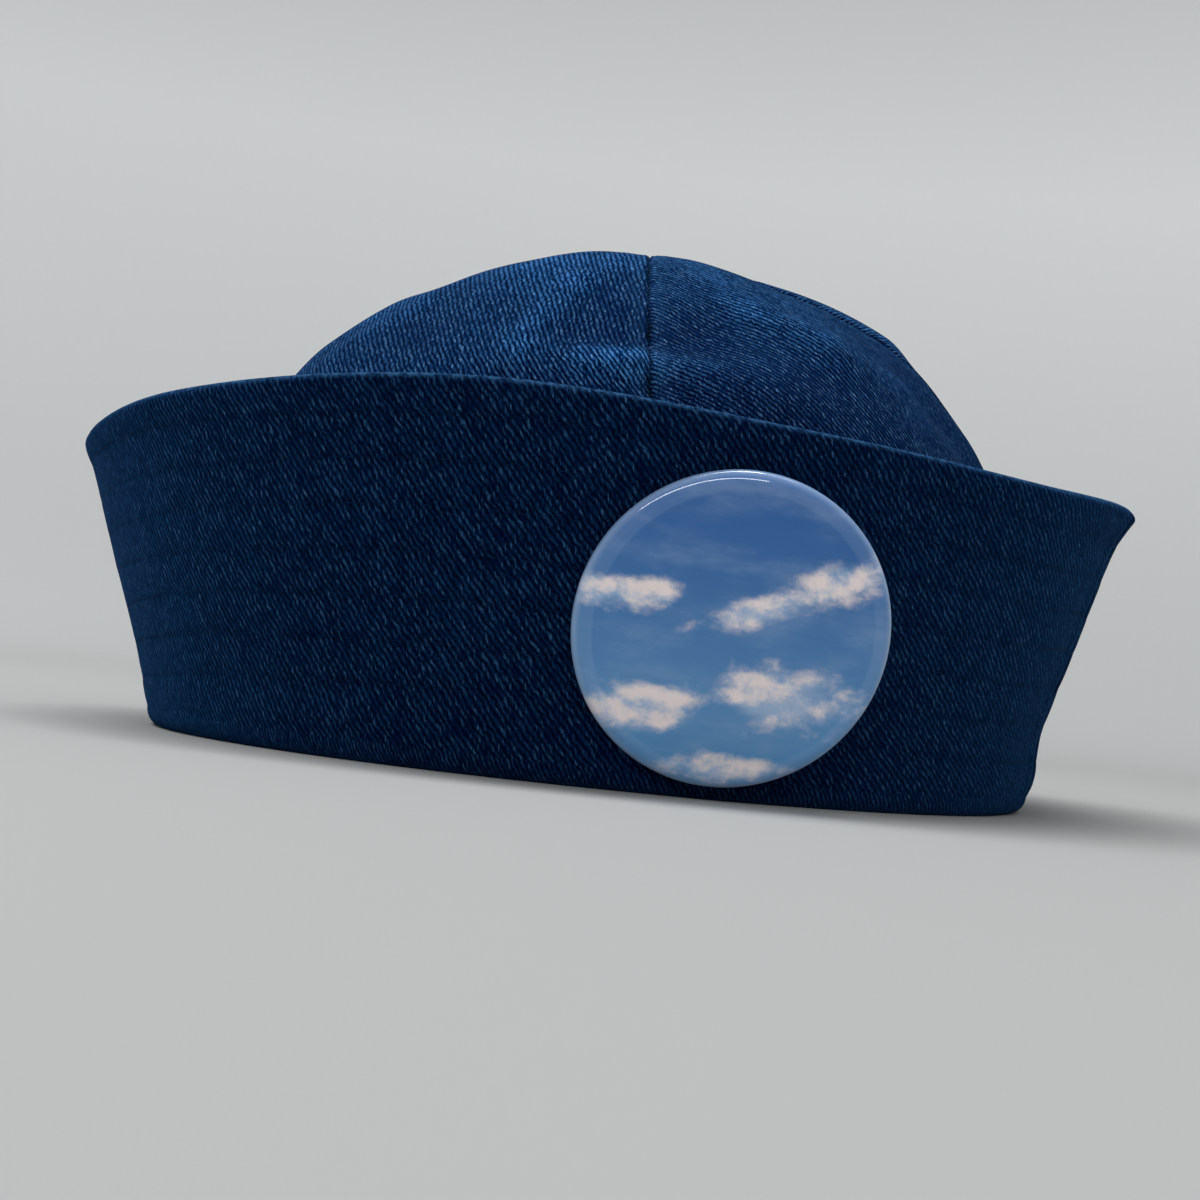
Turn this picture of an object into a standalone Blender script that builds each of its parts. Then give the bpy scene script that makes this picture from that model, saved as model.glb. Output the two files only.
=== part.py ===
"""Denim sailor cap: a crown of four gores in a turned-up brim, with a round badge pinned to the brim.

Metres, +Z up. The cap stands on the fold of its brim at z = 0. The wearer faces -Y and has their left
hand at +X. Azimuths are in degrees round the cap, 0 at the wearer's front, growing toward their left.
"""

import math
from collections import namedtuple

import bmesh
import bpy
from mathutils import Matrix, Vector

# Brim: an oval wall that leans out from the fold to its top edge
FOOT_HALF_LENGTH = 0.1031
FOOT_HALF_WIDTH = 0.0909
FOOT_CENTRE = Vector((0.0015, -0.0007))
RIM_HALF_LENGTH = 0.1244
RIM_HALF_WIDTH = 0.1101
RIM_CENTRE = Vector((-0.0007, 0.0))
BRIM_WALL = 0.0026
FOLD_RISE = 0.0040
FOLD_REACH = 0.0030
FOLD_FLOOR = 0.0020  # cloth below the crown's lower edge
HEM_WALL = 0.0018
HEM_HEIGHT = 0.0120
HEM_CORNER = 0.0010
BACK_SEAM_AZIMUTH = 119.0
SEAM_DEPTH = 0.0006
SEAM_HALF_ANGLE = 0.5

# Crown: four gores that meet at the apex
CROWN_HALF_LENGTH = 0.0925
CROWN_HALF_WIDTH = 0.0875
CROWN_CENTRE = Vector((0.0026, 0.0004))
APEX_SHIFT = Vector((-0.0009, -0.0010))
SWELL_HEIGHT = 0.034  # where the crown's wall stands upright
APEX_HEIGHT = 0.1172
DOME_POWER = 2.29  # above 2 gives a flatter top than an ellipse
RIDGE = 0.02  # how far the section is drawn out at the seams
CROWN_WALL = 0.0016
GAP = 0.0003  # between pieces that touch
FIRST_SEAM_AZIMUTH = 46.0
SEAM_TWIST = 6.0  # degrees that each seam drifts back round the crown on its way to the apex

# Badge: a domed shell with a rolled edge, closed by a plate, on a wire pin through the brim
BADGE_RADIUS = 0.029
BADGE_DEPTH = 0.0052
BADGE_EDGE_DEPTH = 0.0038
BADGE_WALL = 0.0006
FACE_RADIUS = 0.0255  # the shallow dome, inside the rolled edge
ROLL_HEIGHT = 0.0017  # where the rolled edge is widest
TUCK_REACH = 0.0010  # how far the rolled edge turns in at the badge's back
TUCK_HEIGHT = 0.0004
LIP_RADIUS = 0.0264
BADGE_AZIMUTH = 55.0
BADGE_HEIGHT = 0.0317
BADGE_FACING = 52.5  # azimuth that its face looks along
BADGE_TILT = 13.3  # degrees that its face looks down
BADGE_STAND = 0.0005  # clear of the brim
PLATE_RADIUS = 0.0271
PLATE_WALL = 0.0006
PLATE_HEIGHT = 0.0010
PIN_RADIUS = 0.00045
PIN_HALF_SPAN = 0.011
PIN_ARM = 0.019
PIN_BEND = 0.0012
PIN_HOLE_RADIUS = 0.0009
PIN_HOLE_SIDES = 8
PIN_HOLE_TOP = 0.004  # the cutter's ends, above and below the badge's back
PIN_HOLE_BOTTOM = -0.012
FLATTEN_REACH = 0.026  # the brim is drawn flat this far round the badge's middle
FLATTEN_SHARE = 0.75
FLATTEN_LIMIT = 0.1
SEARCH_ANGLE = 20  # degrees each way round the cap within which the brim lies behind the badge

# Fineness
ROUND_STEPS = 80
WALL_STEPS = 9
GORE_STEPS = 14
LOWER_STEPS = 3
DOME_STEPS = 12
BADGE_STEPS = 40
SEARCH_STEPS = 80
PROBE_ANGLE = 0.6  # degrees and share of the height between points that a normal is taken from
PROBE_SHARE = 0.02
SHARP_ANGLE = 40
JOIN = 1e-6

# Round the brim: the height of its top edge, how far the oval's outline swells at the top edge and at
# the fold, how far the last stretch below the top edge rolls out, and how far the wall stands out above
# the fold
Station = namedtuple("Station", "azimuth rim_height rim_swell foot_swell rim_curl fold_bulge")
BRIM_STATIONS = (
    Station(-180, 0.0648, -0.0001, 0.0012, 0.0010, 0.0012),
    Station(-150, 0.0655, 0.0006, 0.0010, 0.0010, 0.0012),
    Station(-120, 0.0691, 0.0000, -0.0014, 0.0010, 0.0012),
    Station(-90, 0.0673, -0.0006, -0.0012, 0.0010, 0.0012),
    Station(-60, 0.0609, -0.0002, 0.0010, 0.0010, 0.0007),
    Station(-30, 0.0580, 0.0005, 0.0014, 0.0010, 0.0007),
    Station(0, 0.0649, 0.0001, -0.0012, 0.0010, 0.0010),
    Station(30, 0.0697, -0.0006, -0.0010, 0.0010, 0.0010),
    Station(60, 0.0674, 0.0000, 0.0014, 0.0010, 0.0012),
    Station(90, 0.0662, 0.0006, 0.0012, 0.0012, 0.0014),
    Station(120, 0.0683, 0.0002, -0.0010, 0.0024, 0.0028),
    Station(150, 0.0685, -0.0005, -0.0014, 0.0012, 0.0016),
)
CURL_START = 0.84  # shares of the brim's height
BULGE_TOP = 0.28
BULGE_FULL = 0.09

# Soft dents (negative depth) and bulges of the crown: where, how wide round, how tall, how deep
Dent = namedtuple("Dent", "azimuth height half_angle half_height depth")
CROWN_DENTS = (
    Dent(30, 0.098, 13, 0.009, -0.0018),
    Dent(27, 0.080, 14, 0.008, 0.0014),
    Dent(58, 0.096, 11, 0.009, -0.0020),
    Dent(60, 0.079, 12, 0.007, 0.0014),
    Dent(105, 0.090, 16, 0.010, -0.0012),
    Dent(120, 0.100, 18, 0.009, 0.0017),
    Dent(-10, 0.092, 14, 0.010, -0.0010),
    Dent(-30, 0.100, 22, 0.012, -0.0008),
    Dent(-75, 0.094, 18, 0.011, -0.0016),
    Dent(170, 0.092, 18, 0.011, -0.0016),
    Dent(-140, 0.086, 16, 0.010, 0.0012),
)

Gore = namedtuple("Gore", "name start end")
GORES = (
    Gore("crown_gore_left", FIRST_SEAM_AZIMUTH, FIRST_SEAM_AZIMUTH + 90),
    Gore("crown_gore_back", FIRST_SEAM_AZIMUTH + 90, FIRST_SEAM_AZIMUTH + 180),
    Gore("crown_gore_right", FIRST_SEAM_AZIMUTH + 180, FIRST_SEAM_AZIMUTH + 270),
    Gore("crown_gore_front", FIRST_SEAM_AZIMUTH + 270, FIRST_SEAM_AZIMUTH + 360),
)


def mix(low, high, share):
    return low + (high - low) * share


def ease(start, end, value):
    """0 before start and 1 past end, with a smooth rise between."""
    t = min(1.0, max(0.0, (value - start) / (end - start)))
    return t * t * (3 - 2 * t)


def heading(azimuth):
    """The level unit vector along an azimuth."""
    angle = math.radians(azimuth)
    return Vector((math.sin(angle), -math.cos(angle), 0))


def around(azimuth, column):
    """A column of the brim's table at any azimuth, on a smooth closed curve through its rows."""
    step = 360 / len(BRIM_STATIONS)
    place = (azimuth - BRIM_STATIONS[0].azimuth) / step
    row = math.floor(place)
    t = place - row
    before, start, end, after = (
        getattr(BRIM_STATIONS[(row + k) % len(BRIM_STATIONS)], column) for k in (-1, 0, 1, 2)
    )
    leave, arrive = (end - before) / 2, (after - start) / 2
    return (
        start * (2 * t**3 - 3 * t**2 + 1)
        + end * (3 * t**2 - 2 * t**3)
        + leave * (t**3 - 2 * t**2 + t)
        + arrive * (t**3 - t**2)
    )


def ring_point(azimuth, half_length, half_width, centre, height):
    """The point of an oval that lies along the azimuth from the oval's centre."""
    angle = math.radians(azimuth)
    turn = math.atan2(math.sin(angle) / half_width, math.cos(angle) / half_length)
    return Vector(
        (
            centre.x + half_width * math.sin(turn),
            centre.y - half_length * math.cos(turn),
            height,
        )
    )


def badge_axes():
    """The badge's own directions: to its right, up its face, and out of it."""
    tilt = math.radians(BADGE_TILT)
    out = heading(BADGE_FACING) * math.cos(tilt) - Vector((0, 0, math.sin(tilt)))
    right = Vector((0, 0, 1)).cross(out).normalized()
    return right, out.cross(right), out


def plain_brim_point(azimuth, share):
    """The brim's outer face before the badge presses on it, share 0 at the fold and 1 at the top edge."""
    swell = mix(around(azimuth, "foot_swell"), around(azimuth, "rim_swell"), share)
    swell += around(azimuth, "rim_curl") * max(0.0, (share - CURL_START) / (1 - CURL_START)) ** 2
    swell += around(azimuth, "fold_bulge") * ease(BULGE_TOP, BULGE_FULL, share)
    return ring_point(
        azimuth,
        mix(FOOT_HALF_LENGTH, RIM_HALF_LENGTH, share) + swell,
        mix(FOOT_HALF_WIDTH, RIM_HALF_WIDTH, share) + swell,
        FOOT_CENTRE.lerp(RIM_CENTRE, share),
        around(azimuth, "rim_height") * share,
    )


def badge_seat():
    """The point of the brim behind the middle of the badge."""
    return plain_brim_point(BADGE_AZIMUTH, BADGE_HEIGHT / around(BADGE_AZIMUTH, "rim_height"))


def brim_point(azimuth, share):
    """The brim's outer face, drawn toward the plane of the badge's back where the badge presses on it."""
    point = plain_brim_point(azimuth, share)
    seat = badge_seat()
    off = point - seat
    if off.length > FLATTEN_LIMIT:
        return point
    out = badge_axes()[2]
    height = off.dot(out)
    beside = (off - out * height).length / FLATTEN_REACH
    return point - out * height * FLATTEN_SHARE * math.exp(-(beside**4))


def brim_normal(azimuth, share):
    """The outward unit normal of the brim's outer face."""
    along = brim_point(azimuth + PROBE_ANGLE, share) - brim_point(azimuth - PROBE_ANGLE, share)
    up = brim_point(azimuth, min(share + PROBE_SHARE, 1)) - brim_point(azimuth, share - PROBE_SHARE)
    return along.cross(up).normalized()


def inward(azimuth):
    """The level unit vector into the cap, square to the brim's foot."""
    level = brim_normal(azimuth, FOLD_RISE / around(azimuth, "rim_height"))
    level.z = 0
    return -level.normalized()


def foot_point(azimuth, reach, height):
    """A point of the fold: reach inward of the wall's outer face just above the fold."""
    start = brim_point(azimuth, FOLD_RISE / around(azimuth, "rim_height"))
    point = start + inward(azimuth) * reach
    point.z = height
    return point


def swell_point(azimuth):
    """The crown's outer face at the height where its wall stands upright."""
    ridge = 1 + RIDGE * math.cos(math.radians(4 * (azimuth - FIRST_SEAM_AZIMUTH)))
    return ring_point(
        azimuth, CROWN_HALF_LENGTH * ridge, CROWN_HALF_WIDTH * ridge, CROWN_CENTRE, SWELL_HEIGHT
    )


def lower_crown_point(azimuth, height, reach=0.0):
    """The crown's outer face between the fold and its swell, or a face that lies reach inside it."""
    low = foot_point(azimuth, BRIM_WALL + 2 * GAP, 0)
    high = swell_point(azimuth)
    point = low.lerp(high, ease(0, SWELL_HEIGHT, height)) + inward(azimuth) * reach
    point.z = height
    return point


def dome_point(azimuth, share):
    """The crown's outer face above its swell, share 1 at the apex."""
    angle = share * math.pi / 2
    across = math.cos(angle)
    rise = math.sin(angle) ** (2 / DOME_POWER)
    edge = swell_point(azimuth) - CROWN_CENTRE.to_3d()
    centre = CROWN_CENTRE + APEX_SHIFT * rise
    point = Vector(
        (
            centre.x + edge.x * across,
            centre.y + edge.y * across,
            mix(SWELL_HEIGHT, APEX_HEIGHT, rise),
        )
    )
    out = (point - Vector((centre.x, centre.y, SWELL_HEIGHT))).normalized()
    depth = 0.0
    for dent in CROWN_DENTS:
        turn = ((azimuth - dent.azimuth + 180) % 360 - 180) / dent.half_angle
        lift = (point.z - dent.height) / dent.half_height
        depth += dent.depth * math.exp(-(turn**2) - lift**2)
    return point + out * depth * (1 - share**8)


def mapped_sheet(columns, rows, place):
    """A sheet of quads, each corner where place(column, row) puts it, with the corners that meet joined."""
    sheet = bmesh.new()
    bmesh.ops.create_grid(sheet, x_segments=columns, y_segments=rows, size=0.5)
    for corner in sheet.verts:
        column = round((corner.co.x + 0.5) * columns)
        row = round((corner.co.y + 0.5) * rows)
        corner.co = place(column, row)
    bmesh.ops.remove_doubles(sheet, verts=sheet.verts, dist=JOIN)
    return sheet


def collection_for(name):
    made = bpy.data.collections.new(name)
    bpy.context.scene.collection.children.link(made)
    return made


def material(name, colour, roughness, metallic=0.0):
    made = bpy.data.materials.new(name)
    made.use_nodes = True
    shader = made.node_tree.nodes["Principled BSDF"]
    shader.inputs["Base Color"].default_value = (*colour, 1)
    shader.inputs["Roughness"].default_value = roughness
    shader.inputs["Metallic"].default_value = metallic
    return made


def object_from(sheet, name, finish, collection):
    mesh = bpy.data.meshes.new(name)
    sheet.to_mesh(mesh)
    sheet.free()
    mesh.shade_smooth()
    mesh.set_sharp_from_angle(angle=math.radians(SHARP_ANGLE))
    made = bpy.data.objects.new(name, mesh)
    made.data.materials.append(finish)
    collection.objects.link(made)
    return made


def seam_groove(azimuth):
    """How deep the back seam draws the brim's outer face in."""
    off_seam = (azimuth - BACK_SEAM_AZIMUTH + 180) % 360 - 180
    return SEAM_DEPTH * max(0.0, 1 - abs(off_seam) / SEAM_HALF_ANGLE)


def brim_section(azimuth):
    """The closed outline of the brim's cloth: up the outer face, down the inner one, round the fold."""
    rim_height = around(azimuth, "rim_height")
    half_wall = BRIM_WALL / 2
    first = FOLD_RISE / rim_height
    last = 1 - half_wall / rim_height
    shares = [mix(first, last, step / WALL_STEPS) for step in range(WALL_STEPS + 1)]
    face = [brim_point(azimuth, share) for share in shares]
    normals = [brim_normal(azimuth, share) for share in shares]
    groove = seam_groove(azimuth)
    outer = [point - normal * groove for point, normal in zip(face, normals)]
    inner = [point - normal * BRIM_WALL for point, normal in zip(face, normals)]
    middle = (outer[-1] + inner[-1]) / 2
    out = (outer[-1] - inner[-1]) / 2
    up = out.cross(heading(azimuth + 90)).normalized() * half_wall
    if up.z < 0:
        up = -up
    edge = [
        middle + out * math.cos(turn) + up * math.sin(turn)
        for turn in (math.radians(45), math.radians(90), math.radians(135))
    ]
    channel_depth = CROWN_WALL + 2 * GAP
    hem_face = [
        lower_crown_point(azimuth, FOLD_FLOOR, channel_depth),
        lower_crown_point(azimuth, HEM_HEIGHT - HEM_WALL / 2, channel_depth),
    ]
    hem_top = lower_crown_point(azimuth, HEM_HEIGHT, channel_depth + HEM_WALL / 2)
    hem_back = [
        lower_crown_point(azimuth, HEM_HEIGHT - HEM_WALL / 2, channel_depth + HEM_WALL),
        lower_crown_point(azimuth, HEM_CORNER, channel_depth + HEM_WALL),
    ]
    hem_reach = BRIM_WALL + 2 * GAP + channel_depth + HEM_WALL - HEM_CORNER
    fold = [foot_point(azimuth, hem_reach, 0.0)] + [
        foot_point(
            azimuth,
            FOLD_REACH * (1 - math.sin(turn)),
            FOLD_RISE * (1 - math.cos(turn)),
        )
        for turn in (math.radians(angle) for angle in (0, 30, 60))
    ]
    channel_side = foot_point(azimuth, BRIM_WALL + GAP, FOLD_FLOOR)
    outline = outer + edge + inner[:0:-2] + [channel_side] + hem_face + [hem_top] + hem_back + fold
    return outline + outline[:1]


def make_brim(finish, collection):
    azimuths = [360 * step / ROUND_STEPS for step in range(ROUND_STEPS)]
    azimuths += [BACK_SEAM_AZIMUTH + SEAM_HALF_ANGLE * side for side in (-1, 0, 1)]
    azimuths = sorted(azimuths)
    azimuths.append(azimuths[0] + 360)
    sections = [brim_section(azimuth) for azimuth in azimuths]
    sheet = mapped_sheet(
        len(azimuths) - 1, len(sections[0]) - 1, lambda column, row: sections[column][row]
    )
    return object_from(sheet, "brim", finish, collection)


def make_gore(gore, finish, collection):
    """One quarter of the crown, from its lower edge in the brim's fold to the apex."""
    low_edge = FOLD_FLOOR + 3 * GAP  # the wall leans here, so its inner corner lies lower
    rows = LOWER_STEPS + DOME_STEPS

    def place(column, row):
        azimuth = mix(gore.start, gore.end, column / GORE_STEPS)
        if row < LOWER_STEPS:
            return lower_crown_point(azimuth, mix(low_edge, SWELL_HEIGHT, row / LOWER_STEPS))
        share = (row - LOWER_STEPS) / DOME_STEPS
        return dome_point(azimuth - SEAM_TWIST * share, share)

    made = object_from(mapped_sheet(GORE_STEPS, rows, place), gore.name, finish, collection)
    wall = made.modifiers.new("wall", "SOLIDIFY")
    wall.thickness = CROWN_WALL
    wall.offset = -1
    wall.use_even_offset = True
    set_out = GAP / 2 / math.sin(math.radians((gore.end - gore.start) / 2))
    made.location = heading((gore.start + gore.end) / 2) * set_out
    return made


def badge_matrix():
    """Where the badge's back lies: clear of every point of the brim behind it."""
    right, up, out = badge_axes()
    seat = badge_seat()
    proud = 0.0
    for angle in range(-SEARCH_ANGLE, SEARCH_ANGLE + 1):
        for row in range(1, ROUND_STEPS):
            off = brim_point(BADGE_AZIMUTH + angle, row / ROUND_STEPS) - seat
            across = math.hypot(off.dot(right), off.dot(up))
            if across < BADGE_RADIUS:
                proud = max(proud, off.dot(out))
    frame = Matrix((right, up, out)).transposed().to_4x4()
    frame.translation = seat + out * (proud + BADGE_STAND)
    return frame


def profile_object(name, points, steps, finish, collection, frame):
    """A turned shape from its profile, given as (radius, height) pairs from the axis and back to it."""
    mesh = bpy.data.meshes.new(name)
    corners = [(radius, 0, height) for radius, height in points]
    edges = [(k, k + 1) for k in range(len(corners) - 1)]
    mesh.from_pydata(corners, edges, [])
    made = bpy.data.objects.new(name, mesh)
    made.data.materials.append(finish)
    made.matrix_world = frame
    collection.objects.link(made)
    turn = made.modifiers.new("turn", "SCREW")
    turn.angle = math.radians(360)
    turn.steps = steps
    turn.render_steps = steps
    turn.use_merge_vertices = True
    turn.merge_threshold = JOIN
    turn.use_smooth_shade = True
    return made


def make_badge_shell(finish, collection, frame):
    """A shallow dome with an edge that rolls over and turns in at the back."""
    face = [
        (FACE_RADIUS * share, BADGE_DEPTH - (BADGE_DEPTH - BADGE_EDGE_DEPTH) * share**2)
        for share in (0, 0.35, 0.7, 1)
    ]
    edge = [
        (
            FACE_RADIUS + (BADGE_RADIUS - FACE_RADIUS) * math.sin(turn),
            ROLL_HEIGHT + (BADGE_EDGE_DEPTH - ROLL_HEIGHT) * math.cos(turn),
        )
        for turn in (math.radians(angle) for angle in (30, 60, 90))
    ]
    tuck = [(BADGE_RADIUS - TUCK_REACH / 3, TUCK_HEIGHT), (BADGE_RADIUS - TUCK_REACH, 0)]
    outside = face + edge + tuck
    inside = [
        (LIP_RADIUS, 0),
        (LIP_RADIUS, BADGE_WALL),
        (BADGE_RADIUS - BADGE_WALL - TUCK_REACH, BADGE_WALL),
        (BADGE_RADIUS - BADGE_WALL, ROLL_HEIGHT),
    ]
    inside += [(radius, height - BADGE_WALL) for radius, height in reversed(face)]
    return profile_object("badge_shell", outside + inside, BADGE_STEPS, finish, collection, frame)


def make_badge_back(finish, collection, frame):
    plate = [
        (0, PLATE_HEIGHT + PLATE_WALL),
        (PLATE_RADIUS, PLATE_HEIGHT + PLATE_WALL),
        (PLATE_RADIUS, PLATE_HEIGHT),
        (0, PLATE_HEIGHT),
    ]
    return profile_object("badge_back", plate, BADGE_STEPS, finish, collection, frame)


def brim_depth_at(frame, across):
    """How far below the badge's back the brim's outer face lies, at a place across the badge's middle."""
    back = frame.inverted()
    share = BADGE_HEIGHT / around(BADGE_AZIMUTH, "rim_height")
    points = [
        back @ brim_point(BADGE_AZIMUTH + SEARCH_ANGLE * step / SEARCH_STEPS, share)
        for step in range(-SEARCH_STEPS, SEARCH_STEPS + 1)
    ]
    return -min(points, key=lambda point: abs(point.x - across)).z


def make_badge_pin(finish, collection, frame):
    """A wire that lies behind the plate, goes in through the brim, along its inner face and out again."""
    upper = PLATE_HEIGHT - GAP - PIN_RADIUS
    inner_face = max(brim_depth_at(frame, PIN_HALF_SPAN * side) for side in (-1, 0, 1)) + BRIM_WALL
    lower = -(inner_face + 2 * GAP + PIN_RADIUS)
    route = [(-PIN_ARM, upper), (-PIN_HALF_SPAN - PIN_BEND, upper), (-PIN_HALF_SPAN, upper - PIN_BEND)]
    route += [(-PIN_HALF_SPAN, lower + PIN_BEND), (-PIN_HALF_SPAN + PIN_BEND, lower)]
    route += [(-across, height) for across, height in reversed(route)]
    curve = bpy.data.curves.new("badge_pin", "CURVE")
    curve.dimensions = "3D"
    curve.bevel_depth = PIN_RADIUS
    curve.bevel_resolution = 1
    curve.use_fill_caps = True
    wire = curve.splines.new("POLY")
    wire.points.add(len(route) - 1)
    for point, (across, height) in zip(wire.points, route):
        point.co = (across, 0, height, 1)
    made = bpy.data.objects.new("badge_pin", curve)
    made.data.materials.append(finish)
    made.matrix_world = frame
    collection.objects.link(made)
    return made


def pierce_brim(brim, frame, cutters):
    """The two small holes that the pin's wire passes through."""
    depth = PIN_HOLE_TOP - PIN_HOLE_BOTTOM
    middle = (PIN_HOLE_TOP + PIN_HOLE_BOTTOM) / 2
    for name, side in (("pin_hole_right", 1), ("pin_hole_left", -1)):
        bpy.ops.mesh.primitive_cylinder_add(
            vertices=PIN_HOLE_SIDES, radius=PIN_HOLE_RADIUS, depth=depth
        )
        hole = bpy.context.object
        hole.name = name
        hole.matrix_world = frame @ Matrix.Translation((PIN_HALF_SPAN * side, 0, middle))
        for collection in list(hole.users_collection):
            collection.objects.unlink(hole)
        cutters.objects.link(hole)
        hole.hide_render = True
        hole.display_type = "WIRE"
        cut = brim.modifiers.new(name, "BOOLEAN")
        cut.operation = "DIFFERENCE"
        cut.solver = "EXACT"
        cut.object = hole


def main():
    for old in list(bpy.data.objects):
        bpy.data.objects.remove(old)
    cap = collection_for("sailor_cap")
    cutters = collection_for("cutters")
    brim_denim = material("brim_denim", (0.010, 0.028, 0.085), 0.9)
    crown_denim = material("crown_denim", (0.018, 0.060, 0.170), 0.9)
    print_film = material("print_film", (0.22, 0.45, 0.78), 0.08)
    steel = material("steel", (0.62, 0.62, 0.63), 0.3, 1.0)

    brim = make_brim(brim_denim, cap)
    for gore in GORES:
        make_gore(gore, crown_denim, cap)
    frame = badge_matrix()
    pierce_brim(brim, frame, cutters)
    make_badge_shell(print_film, cap, frame)
    make_badge_back(steel, cap, frame)
    make_badge_pin(steel, cap, frame)


main()
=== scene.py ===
"""Denim sailor cap: its cloth, stitching, badge and stage, laid out as an add-on and run as a script."""

import math
from collections import namedtuple

import bmesh
import bpy
import numpy as np
from mathutils import Matrix, Vector


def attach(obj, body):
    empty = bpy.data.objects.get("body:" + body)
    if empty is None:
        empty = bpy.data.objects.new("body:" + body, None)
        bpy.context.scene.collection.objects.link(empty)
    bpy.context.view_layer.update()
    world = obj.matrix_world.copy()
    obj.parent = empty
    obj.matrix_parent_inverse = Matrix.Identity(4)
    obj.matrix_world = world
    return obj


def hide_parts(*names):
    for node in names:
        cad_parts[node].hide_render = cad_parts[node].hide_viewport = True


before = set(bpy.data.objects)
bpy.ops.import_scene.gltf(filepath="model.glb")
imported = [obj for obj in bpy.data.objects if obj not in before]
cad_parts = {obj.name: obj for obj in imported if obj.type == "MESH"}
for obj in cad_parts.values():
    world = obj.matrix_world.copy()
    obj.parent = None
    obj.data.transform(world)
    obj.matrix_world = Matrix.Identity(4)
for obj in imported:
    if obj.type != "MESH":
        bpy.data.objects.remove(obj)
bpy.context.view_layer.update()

bl_info = {
    "name": "Sailor Cap",
    "version": (1, 0, 0),
    "blender": (4, 5, 0),
    "location": "View3D > Sidebar > Sailor Cap",
    "description": "Builds the cloth, stitching and badge of a denim sailor cap around its solids",
    "category": "Object",
}

# ---------------------------------------------------------------- shape of the cap, as its solids have it

FOOT_HALF_LENGTH = 0.1031
FOOT_HALF_WIDTH = 0.0909
FOOT_CENTRE = (0.0015, -0.0007)
RIM_HALF_LENGTH = 0.1244
RIM_HALF_WIDTH = 0.1101
RIM_CENTRE = (-0.0007, 0.0)
BRIM_WALL = 0.0026
FOLD_RISE = 0.0040
FOLD_REACH = 0.0030
FOLD_FLOOR = 0.0020
HEM_WALL = 0.0018
HEM_HEIGHT = 0.0120
HEM_CORNER = 0.0010
BACK_SEAM_AZIMUTH = 119.0
CURL_START = 0.84
BULGE_TOP = 0.28
BULGE_FULL = 0.09

CROWN_HALF_LENGTH = 0.0925
CROWN_HALF_WIDTH = 0.0875
CROWN_CENTRE = (0.0026, 0.0004)
APEX_SHIFT = (-0.0009, -0.0010)
SWELL_HEIGHT = 0.034
APEX_HEIGHT = 0.1172
DOME_POWER = 2.29
RIDGE = 0.02
CROWN_WALL = 0.0016
GAP = 0.0003
MERGE_DISTANCE = 1e-7
FIRST_SEAM_AZIMUTH = 46.0
SEAM_TWIST = 6.0

BADGE_RADIUS = 0.029
BADGE_DEPTH = 0.0052
BADGE_EDGE_DEPTH = 0.0038
BADGE_WALL = 0.0006
FACE_RADIUS = 0.0255
ROLL_HEIGHT = 0.0017
TUCK_REACH = 0.0010
LIP_RADIUS = 0.0264
BADGE_AZIMUTH = 55.0
BADGE_HEIGHT = 0.0317
BADGE_FACING = 52.5
BADGE_TILT = 13.3
BADGE_STAND = 0.0005
FLATTEN_REACH = 0.026
FLATTEN_SHARE = 0.75
FLATTEN_LIMIT = 0.1

# The last three columns are the shares of the brim's height at its highest and lowest row of stitches,
# and how full the cloth stands between the rows
Station = namedtuple(
    "Station", "azimuth rim_height rim_swell foot_swell rim_curl fold_bulge top_row low_row puff"
)
BRIM_STATIONS = (
    Station(-180, 0.0648, -0.0001, 0.0012, 0.0010, 0.0012, 0.910, 0.190, 0.70),
    Station(-150, 0.0655, 0.0006, 0.0010, 0.0010, 0.0012, 0.910, 0.190, 0.60),
    Station(-120, 0.0691, 0.0000, -0.0014, 0.0010, 0.0012, 0.910, 0.185, 0.50),
    Station(-90, 0.0673, -0.0006, -0.0012, 0.0010, 0.0012, 0.915, 0.180, 0.40),
    Station(-60, 0.0609, -0.0002, 0.0010, 0.0010, 0.0007, 0.920, 0.175, 0.35),
    Station(-30, 0.0580, 0.0005, 0.0014, 0.0010, 0.0007, 0.925, 0.170, 0.30),
    Station(0, 0.0649, 0.0001, -0.0012, 0.0010, 0.0010, 0.915, 0.205, 0.30),
    Station(30, 0.0697, -0.0006, -0.0010, 0.0010, 0.0010, 0.912, 0.216, 0.35),
    Station(60, 0.0674, 0.0000, 0.0014, 0.0010, 0.0012, 0.905, 0.200, 0.45),
    Station(90, 0.0662, 0.0006, 0.0012, 0.0012, 0.0014, 0.900, 0.178, 0.40),
    Station(120, 0.0683, 0.0002, -0.0010, 0.0024, 0.0024, 0.900, 0.176, 0.30),
    Station(150, 0.0685, -0.0005, -0.0014, 0.0012, 0.0016, 0.905, 0.185, 0.40),
)
STITCH_ROWS = 7

Dent = namedtuple("Dent", "azimuth height half_angle half_height depth")
CROWN_DENTS = (
    Dent(30, 0.098, 13, 0.009, -0.0018),
    Dent(27, 0.080, 14, 0.008, 0.0014),
    Dent(58, 0.096, 11, 0.009, -0.0020),
    Dent(60, 0.079, 12, 0.007, 0.0014),
    Dent(105, 0.090, 16, 0.010, -0.0012),
    Dent(120, 0.100, 18, 0.009, 0.0017),
    Dent(-10, 0.092, 14, 0.010, -0.0010),
    Dent(-30, 0.100, 22, 0.012, -0.0008),
    Dent(-75, 0.094, 18, 0.011, -0.0016),
    Dent(170, 0.092, 18, 0.011, -0.0016),
    Dent(-140, 0.086, 16, 0.010, 0.0012),
)

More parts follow.
